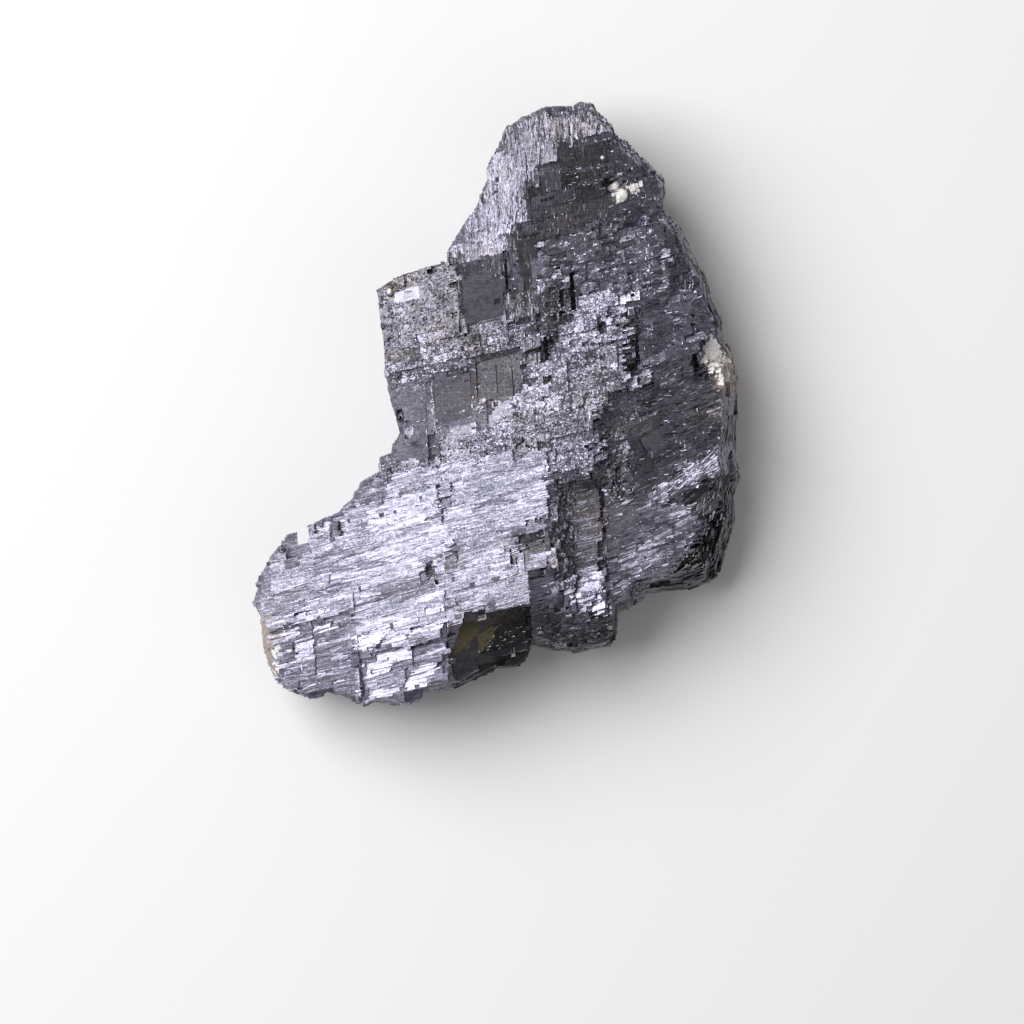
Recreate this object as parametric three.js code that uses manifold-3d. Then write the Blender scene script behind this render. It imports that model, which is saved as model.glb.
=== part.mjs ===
// A hand-sized cleavage mass of galena, lead sulphide, broken from a vein.
//
// Galena splits along three planes at right angles, so its broken front is a staircase of flat ledges
// whose edges all run the same two ways. The mass lies on a broad cleavage face, front upwards:
// +X to the right, +Y towards its tapered end, +Z up, origin at the middle of its footprint.
// Lengths are millimetres. u and v count millimetres along the two cleavage directions that cross the front.
import * as THREE from 'three';
import { mergeVertices } from 'three/addons/utils/BufferGeometryUtils.js';
import Module from 'manifold-3d';

const wasm = await Module();
wasm.setup();
const { Manifold, Mesh } = wasm;

// ---- Driving dimensions ----
const U_RISE = THREE.MathUtils.degToRad(13); // the long ledges climb to the right by this much
const V_LEAN = THREE.MathUtils.degToRad(4); // the cross ledges lean left towards the tapered end
const HEIGHT_LIMIT = 48; // above every ledge
const ROOT = -8; // blocks start below the resting face, which then cuts them
const LAP = [0.1, 0.3]; // neighbouring blocks run this far into each other, each side by its own amount
const SEAT_LAP = [0, 0.07]; // the seat that a ledge is let into is this much wider on each side
const WELD = 0.02; // edges shorter than this are closed up when blocks are joined
const LEAD_GREY = 0x77767d;

// ---- Silhouette ----
// The widest outline of the mass, seen from the front, anticlockwise from its right-hand corner.
const OUTLINE = [
  [51.5, 5], [51, 7.5], [50.5, 10.5], [48.5, 14], [48, 18], [46, 22], [44.5, 27.5], [42.5, 30.5],
  [41, 34], [39.5, 37], [35.5, 42], [36, 44.5], [35.5, 48], [32.5, 51], [27, 56], [25.5, 57],
  [24.5, 59.5], [22, 61.5], [20, 64], [18, 64.5], [16, 63.5], [10.5, 63.5], [6, 61.5], [2, 59],
  [0.5, 55], [-2, 50], [-2, 47.5], [-4.5, 41.5], [-8, 36.5], [-10.5, 32], [-10.5, 30], [-15, 29],
  [-22, 26.5], [-25.5, 24], [-25, 21.5], [-23.5, 10], [-23.5, 6], [-21, -4.5], [-20.5, -6], [-22, -9],
  [-22.5, -10.5], [-25, -11.5], [-25, -14.5], [-28.5, -16.5], [-31.5, -21], [-33.5, -23], [-35.5, -24],
  [-39.5, -26], [-44.5, -28], [-48.5, -33], [-51.5, -38], [-52, -42.5], [-50.5, -45.5], [-50, -52],
  [-48, -57.5], [-45.5, -60.5], [-40, -63], [-38.5, -63], [-36.5, -61.5], [-32, -62.5], [-28.5, -64.5],
  [-26, -63.5], [-20, -64.5], [-16.5, -63.5], [-16, -61.5], [-9.5, -61], [-3, -58], [0, -56.5],
  [4.5, -56], [6.5, -54], [7.5, -51.5], [11.5, -52.5], [17, -53], [24, -52], [25.5, -49.5], [26, -44.5],
  [29.5, -43], [32, -40.5], [35.5, -40], [41.5, -39.5], [45.5, -38], [47, -36.5], [48, -34.5],
  [49, -30.5], [51, -24.5], [50.5, -19.5], [52, -15.5], [51, -12], [51, -7.5], [51.5, -1],
];
const HEART = new THREE.Vector2(9, -10); // every side can be seen from here

// How the flank stands, by direction from the heart in degrees: the height of its widest line, and how far
// it draws in for each millimetre above that.
const FLANK = [
  { at: 0, girth: 12, lean: 0.28 },
  { at: 30, girth: 13, lean: 0.3 },
  { at: 62, girth: 15, lean: 0.22 },
  { at: 82, girth: 17, lean: 0.12 },
  { at: 100, girth: 15, lean: 0.04 },
  { at: 118, girth: 18, lean: 0.02 },
  { at: 135, girth: 26, lean: 0.01 },
  { at: 172, girth: 27, lean: 0.01 },
  { at: 195, girth: 20, lean: 0.05 },
  { at: 212, girth: 11, lean: 0.12 },
  { at: 235, girth: 12, lean: 0.1 },
  { at: 262, girth: 12, lean: 0.2 },
  { at: 290, girth: 12, lean: 0.12 },
  { at: 322, girth: 11, lean: 0.4 },
  { at: 360, girth: 12, lean: 0.28 },
];
const FOOT_SCALE = 0.76; // the resting face against the outline
const BILGE = { rise: 0.42, scale: 0.94 }; // the flank's lower break: share of the girth height, and size
// How many points to each side the outline is evened out over, at the foot, bilge, girth and top.
const EVENING = [5, 3, 0, 2];

// ---- Ledges ----
// The cleavage ledges of the front, by name. Later ones replace earlier ones where they cross.
// u, v: extent. z: height at the middle. slope: rise per millimetre along u and v.
// grain: size along u and v of the blocks it is broken into. steps: how far those blocks differ in height.
const LEDGES = {
  core: { u: [-62, 60], v: [-68, 70], z: 31, slope: [0, 0], grain: [40, 40], steps: 0 },
  // The long bright slab at the lower left.
  slab: { u: [-60, 12.5], v: [-66, -9.5], z: 30.4, slope: [0.22, 0.04], grain: [15, 4.2], steps: 0.4 },
  slab_tail: { u: [-60, -34], v: [-66, -36.5], z: 21.6, slope: [0.27, 0.14], grain: [8, 5], steps: 0.6 },
  slab_foot: { u: [-33.5, -14.3], v: [-66, -46], z: 27, slope: [0.18, 0.12], grain: [9, 3.4], steps: 0.6 },
  slab_crown: { u: [-12, 11], v: [-43, -9], z: 37, slope: [0.14, 0.01], grain: [9, 6], steps: 0.45 },
  // The flat cheek and the mottled shoulder above it.
  cheek: { u: [-30, 9], v: [-9.2, 13], z: 33, slope: [0.02, 0.03], grain: [9, 9], steps: 0.4 },
  cheek_plate: { u: [-13.5, -4], v: [3, 9.2], z: 33.8, slope: [0, 0.02], grain: [12, 12], steps: 0.1 },
  cheek_panel: { u: [-4, 9.5], v: [1.5, 11.5], z: 33, slope: [-0.02, 0.04], grain: [6, 14], steps: 0.3 },
  shoulder: { u: [-30, -6.2], v: [13.5, 34], z: 31.8, slope: [0.14, -0.2], grain: [7, 6], steps: 0.5 },
  shoulder_step: { u: [-30, -4], v: [11.5, 16], z: 33.4, slope: [0.06, -0.06], grain: [8, 4], steps: 0.5 },
  saddle: { u: [-6, 12], v: [11, 20], z: 34.2, slope: [0.05, -0.05], grain: [5, 4], steps: 0.7 },
  dark_panel: { u: [-6.6, 3.6], v: [19.3, 30.6], z: 34.4, slope: [-0.14, 0.1], grain: [14, 14], steps: 0 },
  // The tapered end: a bright left flank, and dark steps that face right.
  tower_flank: { u: [-12, 12.5], v: [30.8, 66], z: 31.4, slope: [0.42, 0.02], grain: [4, 11], steps: 0.7 },
  tower_brow: { u: [12.3, 16.4], v: [47.3, 54], z: 36.6, slope: [0.3, 0.05], grain: [4, 5], steps: 0.4 },
  tower_cap: { u: [7, 34], v: [51, 68], z: 33.6, slope: [0.04, -0.24], grain: [6, 5], steps: 0.8 },
  upper_panel: { u: [16.5, 30.4], v: [42.5, 51.2], z: 34, slope: [-0.18, 0.26], grain: [13, 4], steps: 0.5 },
  corner_block: { u: [12.2, 16.7], v: [41, 47.5], z: 35.2, slope: [-0.1, 0.2], grain: [5, 6], steps: 0.4 },
  tower_face: { u: [9.4, 28.5], v: [31, 42.7], z: 34.4, slope: [-0.14, 0.16], grain: [10, 4.4], steps: 0.6 },
  nook: { u: [4.6, 10.2], v: [28.2, 36.2], z: 34.6, slope: [-0.1, 0.15], grain: [5, 5], steps: 0.6 },
  inner_slope: { u: [12, 30], v: [20, 31.2], z: 33.4, slope: [-0.08, 0.1], grain: [4.6, 4.2], steps: 0.9 },
  trough: { u: [3.4, 17], v: [11.5, 28.4], z: 33.2, slope: [-0.1, 0.06], grain: [3.6, 5], steps: 0.9 },
  right_eave: { u: [28.3, 46], v: [24, 52], z: 26.8, slope: [-0.5, 0.1], grain: [5, 5], steps: 0.8 },
  // The granular band that runs down from the right to the slab.
  band_high: { u: [24, 38], v: [9.5, 30], z: 31.8, slope: [-0.2, -0.08], grain: [4.6, 6], steps: 0.7 },
  band_mid: { u: [14.5, 29.5], v: [-2, 18], z: 34.9, slope: [0.02, -0.1], grain: [4.2, 4.2], steps: 0.7 },
  band_low: { u: [8, 26], v: [-12, 6], z: 36.4, slope: [0.02, -0.06], grain: [5, 4.4], steps: 0.7 },
  band_toe: { u: [-1, 12], v: [-10.5, 1.7], z: 36, slope: [0.08, -0.06], grain: [4.6, 4], steps: 0.6 },
  band_tip: { u: [-12.4, 3], v: [-9.7, -4.2], z: 35, slope: [0.1, -0.08], grain: [5, 3.4], steps: 0.5 },
  // The dark right-hand side.
  right_wall: { u: [38.5, 58], v: [-6, 36], z: 19.6, slope: [-0.75, 0.05], grain: [9, 7], steps: 0.7 },
  bay: { u: [29.3, 43], v: [-4, 14.2], z: 28.8, slope: [-0.22, 0.02], grain: [4.2, 3.8], steps: 0.9 },
  right_field: { u: [23.7, 53], v: [-26, -3], z: 27.2, slope: [-0.2, 0], grain: [7, 4], steps: 0.8 },
  band_foot: { u: [10.8, 20.6], v: [-19.2, -10], z: 36.4, slope: [0, -0.02], grain: [5, 5], steps: 0.5 },
  scarp_foot: { u: [20.4, 24], v: [-34, -8], z: 31.2, slope: [-0.3, 0.02], grain: [5, 6], steps: 0.6 },
  lobe: { u: [20.4, 56], v: [-52, -24.4], z: 26, slope: [-0.2, 0.16], grain: [10, 3.6], steps: 0.6 },
  lobe_ridge: { u: [28, 50], v: [-27, -20.6], z: 28.4, slope: [-0.16, -0.16], grain: [8, 3], steps: 0.5 },
  // The steps at the lower end, down from the slab.
  riser_wall: { u: [10.4, 13.6], v: [-42, -18.4], z: 34, slope: [-1.5, 0], grain: [2, 4], steps: 0.7 },
  tread_head: { u: [13.3, 20.5], v: [-27.6, -18.7], z: 31.6, slope: [-0.1, -0.1], grain: [8, 5], steps: 0.3 },
  tread: { u: [13.4, 20.5], v: [-37, -27.3], z: 32.2, slope: [0.08, 0.05], grain: [9, 12], steps: 0.1 },
  tread_toe: { u: [13.5, 20.5], v: [-46, -36.8], z: 31.4, slope: [0.26, 0.14], grain: [4, 3], steps: 0.4 },
  yellow_block: { u: [-14.6, 3.4], v: [-66, -43.2], z: 25.4, slope: [0, 0.34], grain: [12, 12], steps: 0.3 },
  notched_block: { u: [3.8, 21.6], v: [-60, -45.6], z: 26.4, slope: [0.02, 0.42], grain: [6, 6], steps: 0.5 },
  step_rubble: { u: [4, 13.7], v: [-47, -36.4], z: 32, slope: [-0.05, 0.3], grain: [3.2, 3.2], steps: 1 },
};
const LEDGE_SEED = 7;
const LAP_SEED = 3;
const SEAT_MARGIN = 20; // a seat is cut this far past the blocks, above and below
const TILT = 0.035; // each block leans at random by up to this much more than its ledge

// Slanting facets that break across the cleavage: a point of the plane, the way it faces in degrees
// anticlockwise from +X, how steeply it falls that way, and how far it runs to each side of the point.
const FACETS = {
  lobe_facet: { at: [36, -35.5, 26.4], faces: -45, fall: 50, reach: 11 },
  lobe_side: { at: [43.4, -24.5, 24.6], faces: -14, fall: 52, reach: 9 },
};
const FACET_DEPTH = 40; // how far out and up a facet clears

// ---- Bites ----
// Square-edged pits and slots of the front: extent and the height of the floor.
const PITS = {
  slab_pit: { u: [-17.6, -16], v: [-33.5, -28.8], floor: 31 },
  slab_pit_step: { u: [-18.8, -17.5], v: [-34.6, -31.6], floor: 31.4 },
  rough_pit: { u: [-13.4, -10.4], v: [-30.6, -27.4], floor: 33 },
  crown_scoop: { u: [2.6, 10.8], v: [-31.4, -27.8], floor: 36 },
  crown_crack: { u: [0.5, 1.1], v: [-35, -31], floor: 33 },
  slab_crack: { u: [-13.6, -12.9], v: [-22.4, -14.6], floor: 32 },
  cheek_crack: { u: [-14.4, -13.9], v: [-9.4, -3], floor: 30 },
  trough_slot: { u: [14.6, 16.2], v: [13.5, 25.5], floor: 29.5 },
  trough_slot_low: { u: [9.6, 10.6], v: [9, 17], floor: 31.5 },
  nook_slot: { u: [3.4, 4.8], v: [22, 31.5], floor: 31 },
  band_pit: { u: [23.2, 25], v: [10.5, 13], floor: 32 },
  white_pocket: { u: [28.2, 31.2], v: [36.2, 40.4], floor: 29 },
  panel_notch: { u: [26.8, 28.4], v: [36.5, 42], floor: 31 },
  tread_cleft: { u: [20.4, 21.5], v: [-50, -22], floor: 27 },
  block_cleft: { u: [2.8, 4.2], v: [-60, -43.5], floor: 20 },
  toe_cleft: { u: [10.6, 11.6], v: [-48, -39], floor: 27 },
  bay_cleft: { u: [29.8, 31.2], v: [-3, 13], floor: 25.5 },
};
// A ladder of thin slots one above the other.
const LADDER = { u: [26.4, 29.4], from: 3.4, rungs: 6, pitch: 2.1, slot: 1, floor: 31.6 };

// Square bites spread round the mass: below its widest line, and above it where the front meets the flank.
const UNDER_BITES = { count: 74, seed: 23, size: [7, 22], depth: [1.2, 6.5] };
const RIM_BITES = { count: 40, seed: 5, size: [4, 13], depth: [0.6, 2.8] };

// ---- Small tools ----
// The same run of numbers between 0 and 1 for the same seed.
function randomFrom(seed) {
  let state = seed >>> 0;
  return () => {
    state = (state + 0x6d2b79f5) >>> 0;
    let t = state;
    t = Math.imul(t ^ (t >>> 15), t | 1);
    t ^= t + Math.imul(t ^ (t >>> 7), t | 61);
    return ((t ^ (t >>> 14)) >>> 0) / 4294967296;
  };
}

function solidOf(geometry) {
  geometry.deleteAttribute('normal');
  geometry.deleteAttribute('uv');
  const merged = mergeVertices(geometry, 1e-4);
  return new Manifold(new Mesh({
    numProp: 3,
    vertProperties: merged.attributes.position.array,
    triVerts: new Uint32Array(merged.index.array),
    tolerance: WELD,
  }));
}

const U_AXIS = new THREE.Vector3(Math.cos(U_RISE), Math.sin(U_RISE), 0);
const V_AXIS = new THREE.Vector3(-Math.sin(V_LEAN), Math.cos(V_LEAN), 0);

// A block between cleavage planes. Its top and bottom follow slope, and top is the height at its middle.
function cleavageBlock({ u, v, top, bottom = ROOT, slope = [0, 0] }) {
  const box = new THREE.BoxGeometry(u[1] - u[0], v[1] - v[0], top - bottom);
  box.translate(0, 0, (top + bottom) / 2);
  const along = new THREE.Matrix4().makeBasis(
    U_AXIS.clone().setZ(slope[0]),
    V_AXIS.clone().setZ(slope[1]),
    new THREE.Vector3(0, 0, 1),
  );
  const middle = U_AXIS.clone().multiplyScalar((u[0] + u[1]) / 2)
    .addScaledVector(V_AXIS, (v[0] + v[1]) / 2);
  box.applyMatrix4(along.setPosition(middle));
  return solidOf(box);
}

// ---- The front, ledge by ledge ----
// Splits a rectangle at random across the side that is long for the grain, down to about the grain
function splitIntoBlocks(u, v, grain, random, found = []) {
  const [width, length] = [u[1] - u[0], v[1] - v[0]];
  const [wide, long] = [width / grain[0], length / grain[1]];
  if (Math.max(wide, long) < 1 + 0.9 * random()) {
    found.push({ u, v });
    return found;
  }
  const share = 0.34 + 0.32 * random();
  if (wide >= long) {
    const cut = u[0] + width * share;
    splitIntoBlocks([u[0], cut], v, grain, random, found);
    splitIntoBlocks([cut, u[1]], v, grain, random, found);
  } else {
    const cut = v[0] + length * share;
    splitIntoBlocks(u, [v[0], cut], grain, random, found);
    splitIntoBlocks(u, [cut, v[1]], grain, random, found);
  }
  return found;
}

const middleOf = ([low, high]) => (low + high) / 2;

// A different lap at every side, so that no two blocks share a wall plane.
function lapped([low, high], [least, most], lapRandom) {
  const lap = () => least + (most - least) * lapRandom();
  return [low - lap(), high + lap()];
}

function ledgeBlocks(ledge, random, lapRandom) {
  return splitIntoBlocks(ledge.u, ledge.v, ledge.grain, random).map(({ u, v }) => {
    const offU = middleOf(u) - middleOf(ledge.u);
    const offV = middleOf(v) - middleOf(ledge.v);
    const plane = ledge.z + ledge.slope[0] * offU + ledge.slope[1] * offV;
    return cleavageBlock({
      u: lapped(u, LAP, lapRandom),
      v: lapped(v, LAP, lapRandom),
      top: plane + ledge.steps * (2 * random() - 1),
      slope: ledge.slope.map((rise) => rise + (ledge.steps && TILT * (2 * random() - 1))),
    });
  });
}

function frontOfLedges() {
  const random = randomFrom(LEDGE_SEED);
  const lapRandom = randomFrom(LAP_SEED);
  let front = null;
  for (const ledge of Object.values(LEDGES)) {
    const blocks = Manifold.union(ledgeBlocks(ledge, random, lapRandom));
    if (!front) {
      front = blocks;
      continue;
    }
    const seat = cleavageBlock({
      u: lapped(ledge.u, SEAT_LAP, lapRandom),
      v: lapped(ledge.v, SEAT_LAP, lapRandom),
      top: HEIGHT_LIMIT + SEAT_MARGIN,
      bottom: ROOT - SEAT_MARGIN,
    });
    front = front.subtract(seat).add(blocks);
  }
  return front;
}

// ---- The mass: flank and resting face ----
function flankAt(direction) {
  const degrees = (THREE.MathUtils.radToDeg(direction) + 360) % 360;
  const next = FLANK.findIndex((row) => row.at > degrees);
  const [a, b] = [FLANK[next - 1], FLANK[next]];
  const share = (degrees - a.at) / (b.at - a.at);
  return {
    girth: THREE.MathUtils.lerp(a.girth, b.girth, share),
    lean: THREE.MathUtils.lerp(a.lean, b.lean, share),
  };
}

// The outline's reach from the heart at each point, evened out over its neighbours but never further out.
function evenedReach(over) {
  const reaches = OUTLINE.map(([x, y]) => Math.hypot(x - HEART.x, y - HEART.y));
  return reaches.map((own, i) => {
    let sum = 0;
    for (let step = -over; step <= over; step += 1) {
      sum += reaches[(i + step + reaches.length) % reaches.length];
    }
    return Math.min(own, sum / (2 * over + 1));
  });
}

// Rings of the outline, from the resting face up to above the ledges, joined into one closed skin.
function massSkin() {
  const reaches = EVENING.map(evenedReach);
  const rings = [[], [], [], []];
  OUTLINE.forEach(([x, y], i) => {
    const arm = new THREE.Vector2(x, y).sub(HEART);
    const outwards = arm.clone().normalize();
    const { girth, lean } = flankAt(arm.angle());
    const shares = [FOOT_SCALE, BILGE.scale, 1, 1 - (lean * (HEIGHT_LIMIT - girth)) / arm.length()];
    const heights = [0, BILGE.rise * girth, girth, HEIGHT_LIMIT];
    rings.forEach((ring, level) => {
      const reach = reaches[level][i] * shares[level];
      ring.push([HEART.x + outwards.x * reach, HEART.y + outwards.y * reach, heights[level]]);
    });
  });
  const count = OUTLINE.length;
  const points = rings.flat();
  points.push([HEART.x, HEART.y, 0], [HEART.x, HEART.y, HEIGHT_LIMIT]);
  const [footCentre, topCentre] = [points.length - 2, points.length - 1];
  const faces = [];
  for (let i = 0; i < count; i += 1) {
    const j = (i + 1) % count;
    faces.push([footCentre, j, i], [topCentre, 3 * count + i, 3 * count + j]);
    for (let ring = 0; ring < 3; ring += 1) {
      const [a, b] = [ring * count + i, ring * count + j];
      faces.push([a, b, b + count], [a, b + count, a + count]);
    }
  }
  const skin = new THREE.BufferGeometry();
  skin.setAttribute('position', new THREE.Float32BufferAttribute(points.flat(), 3));
  skin.setIndex(faces.flat());
  return solidOf(skin);
}

// Where a point of the plan lies along u and v.
function cleavagePlace({ x, y }) {
  const v = (y * U_AXIS.x - x * U_AXIS.y) / (V_AXIS.y * U_AXIS.x - V_AXIS.x * U_AXIS.y);
  return { u: (x - v * V_AXIS.x) / U_AXIS.x, v };
}

// Square bites that step the flank as cleavage does. span gives each one's height from the girth there.
function flankBites({ count, seed, size, depth }, span) {
  const random = randomFrom(seed);
  const between = ([low, high]) => low + (high - low) * random();
  const bites = [];
  for (let i = 0; i < count; i += 1) {
    const [x, y] = OUTLINE[Math.floor((i * OUTLINE.length) / count)];
    const arm = new THREE.Vector2(x, y).sub(HEART);
    const outwards = arm.clone().normalize();
    const { girth, lean } = flankAt(arm.angle());
    const { bottom, top } = span(girth, between);
    const level = (bottom + top) / 2;
    const drawnIn = level < girth
      ? (1 - THREE.MathUtils.lerp(BILGE.scale, 1, Math.max(0, bottom) / girth)) * arm.length()
      : lean * (bottom - girth);
    const [wide, long] = [between(size), between(size)];
    // Half the bite lies along the arm from its middle; what is left after that is how deep it goes.
    const half = (Math.abs(outwards.x) * wide + Math.abs(outwards.y) * long) / 2;
    const middle = arm.clone().addScaledVector(outwards, half - between(depth) - drawnIn).add(HEART);
    const { u, v } = cleavagePlace(middle);
    bites.push(cleavageBlock({
      u: [u - wide / 2, u + wide / 2],
      v: [v - long / 2, v + long / 2],
      bottom,
      top,
    }));
  }
  return Manifold.union(bites);
}

// Below the girth line, so that the outline keeps its width. One bite in three runs down to the base.
function underSpan(girth, between) {
  const top = Math.min(girth - 0.4, between([2, girth + 5]));
  const reach = between([3, 13]);
  return { bottom: between([0, 3]) < 1 ? ROOT : top - reach, top };
}

// Above the girth line and open to the front.
function rimSpan(girth, between) {
  return { bottom: girth + between([0.6, 9]), top: HEIGHT_LIMIT + 5 };
}

function frontPits() {
  const pits = Object.values(PITS).map(({ u, v, floor }) => (
    cleavageBlock({ u, v, bottom: floor, top: HEIGHT_LIMIT + 5 })
  ));
  for (let rung = 0; rung < LADDER.rungs; rung += 1) {
    const low = LADDER.from + rung * LADDER.pitch;
    pits.push(cleavageBlock({
      u: LADDER.u,
      v: [low, low + LADDER.slot],
      bottom: LADDER.floor,
      top: HEIGHT_LIMIT + 5,
    }));
  }
  return Manifold.union(pits);
}

// What lies outside each slanting facet.
function facetCuts() {
  return Manifold.union(Object.values(FACETS).map(({ at, faces, fall, reach }) => {
    const box = new THREE.BoxGeometry(FACET_DEPTH * 2, reach * 2, FACET_DEPTH);
    box.translate(0, 0, FACET_DEPTH / 2);
    box.rotateY(THREE.MathUtils.degToRad(fall));
    box.rotateZ(THREE.MathUtils.degToRad(faces));
    box.translate(...at);
    return solidOf(box);
  }));
}

// ---- The finished mass ----
function toGeometry(solid) {
  const { vertProperties, triVerts } = solid.getMesh();
  const geometry = new THREE.BufferGeometry();
  geometry.setAttribute('position', new THREE.BufferAttribute(vertProperties, 3));
  geometry.setIndex(new THREE.BufferAttribute(triVerts, 1));
  geometry.computeVertexNormals();
  return geometry;
}

const mass = frontOfLedges()
  .subtract(frontPits())
  .subtract(facetCuts())
  .intersect(massSkin())
  .subtract(flankBites(UNDER_BITES, underSpan))
  .subtract(flankBites(RIM_BITES, rimSpan));
const whole = mass.decompose().sort((a, b) => b.volume() - a.volume())[0];

const galena = new THREE.Mesh(
  toGeometry(whole),
  new THREE.MeshStandardMaterial({ color: LEAD_GREY, roughness: 0.42, metalness: 0.9, flatShading: true }),
);
galena.name = 'galena';

const specimen = new THREE.Group();
specimen.name = 'galena_specimen';
specimen.add(galena);

export default specimen;
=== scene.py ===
"""A hand-sized cleavage mass of galena, lying on its back and seen from straight above."""

import math

import bmesh
import bpy
import numpy as np
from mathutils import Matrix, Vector
from mathutils.bvhtree import BVHTree


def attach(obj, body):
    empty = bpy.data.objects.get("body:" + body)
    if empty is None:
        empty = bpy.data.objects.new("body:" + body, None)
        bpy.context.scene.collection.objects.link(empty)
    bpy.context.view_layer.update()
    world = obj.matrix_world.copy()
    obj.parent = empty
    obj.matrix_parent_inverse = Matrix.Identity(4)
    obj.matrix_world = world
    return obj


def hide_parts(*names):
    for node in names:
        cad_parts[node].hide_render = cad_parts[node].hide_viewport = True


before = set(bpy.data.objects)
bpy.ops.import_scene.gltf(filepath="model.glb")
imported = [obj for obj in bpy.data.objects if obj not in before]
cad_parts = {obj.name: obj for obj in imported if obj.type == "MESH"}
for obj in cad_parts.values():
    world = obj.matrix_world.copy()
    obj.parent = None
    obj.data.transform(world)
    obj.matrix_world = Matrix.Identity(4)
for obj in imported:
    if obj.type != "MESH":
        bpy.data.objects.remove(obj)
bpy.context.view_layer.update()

# ---- The cleavage mass: its ledges, broken down into plates ----
# One lump of intergrown galena. It parts along three planes at right angles, so each break on it is a
# stair of small flat plates, whose edges run two ways, u and v. The ledges come from the solid. The
# plates on them are cut here, in millimetres along u, v and up.
MM = 0.001
U_RISE = math.radians(13)
V_LEAN = math.radians(4)
ALONG_U_AND_V = np.array([
    [math.cos(U_RISE), -math.sin(V_LEAN)],
    [math.sin(U_RISE), math.cos(V_LEAN)],
])
DRAW = np.random.default_rng(41)


def to_cleavage(points):
    """Metres in the part's own frame to millimetres along u, v and up."""
    flat = np.linalg.solve(ALONG_U_AND_V, points[:, :2].T).T
    return np.column_stack([flat, points[:, 2]]) / MM


def from_cleavage(places):
    """Millimetres along u, v and up to metres in the part's own frame."""
    return np.column_stack([places[:, :2] @ ALONG_U_AND_V.T, places[:, 2]]) * MM


def read(parts, what):
    """The places or the ways of vertices or faces."""
    found = np.empty(len(parts) * 3, np.float32)
    parts.foreach_get(what, found)
    return found.reshape(-1, 3).astype(float)


def put(mesh, places):
    mesh.vertices.foreach_set("co", places.astype(np.float32).ravel())
    mesh.update()


def new_object(name, mesh):
    made = bpy.data.objects.new(name, mesh)
    bpy.context.scene.collection.objects.link(made)
    return made


def apply_modifiers(worked):
    depsgraph = bpy.context.evaluated_depsgraph_get()
    worked.data = bpy.data.meshes.new_from_object(worked.evaluated_get(depsgraph))
    worked.modifiers.clear()


lump = new_object("galena_mass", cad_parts["galena"].data.copy())
put(lump.data, to_cleavage(read(lump.data.vertices, "co")))
lump.modifiers.new("weld", "WELD").merge_threshold = 0.0005
apply_modifiers(lump)

# How plates lie on the ledges: lengths in millimetres, slopes as a rise over a run.
LOWEST_PLATE = 0.9  # over the table
LEDGE_EDGE = 0.45  # a plate stops where the ledge under it drops or climbs by more than this
OVERSHOOT = 0.5  # how far it may run on past such an edge
RIM_OVERSHOOT = 0.15  # and past the rim of the lump
LEAST_ON_LEDGE = 0.85  # the part of a plate that lies on the lump
THINNEST = 0.3
DEEPEST_STACK = 12  # plates over one spot
PLATE_TAPER = (0.4, 1)
PLATE_ROOT = (0.8, 2.4)  # how far a plate reaches down into the lump
STEEPEST_PLATE = 1.2  # on a steeper slope the plates turn back to the cleavage and make a stair
DEEPEST_SINK = 1.3  # no plate sinks further than this into the ledges as they were
PROUDEST = 0.4  # and none stands further than this over the highest of them
FAR_OUT = 90  # clear of the lump
RAGGED = 0.6  # how raggedly one break runs into the next
STAIR_SIZES = ((1, 5), (0.7, 2.6), (0.7, 1))  # length, width and taper
STAIR_SWAY = 2  # degrees off the cleavage
STAIR_FALL = (-0.05, 0.55)  # below the top of the edge, as a share of its height
STAIR_LEAN = 0.06
STEEPEST_STAIR = 0.3
# A broad face is laid where most of its ground is even, bar the deepest dips.
FACE_SPOTS = np.arange(-0.5, 0.51, 0.05)
MOST_OF_FACE = 0.9
DEEPEST_DIP = 2.5
MOST_UNEVEN = 0.8
CHIP_LEAN = 0.05
# How far tarnish has gone, with painted light in it: 0 is fresh, 1 is dull, and the most is black, as
# painted shade.
# On the front the amounts are partly real tarnish and partly painted light: higher where faces turn from
# the light, lower where they face it.
TARNISH_SPREAD = 0.1
BLACKEST_PAINTED_SHADE = 1.6
FLANK_TARNISH = 0.6
FLANK_SPREAD = 2.5  # the flanks have tarnished more patchily
FLANK_BLACKEST_PAINTED_SHADE = 1.05
FLANK_STAINED = 0.4  # how far the olive stain of the front runs down the flanks
FLANK_STARTS = 1.5  # how far under the front a face belongs to the flanks
FLANK_GRIT = 0.1


def ways_at(turn):
    """Along and across a plate that is turned so."""
    along = np.array([math.cos(turn), math.sin(turn)])
    return along, np.array([-along[1], along[0]])


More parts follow.
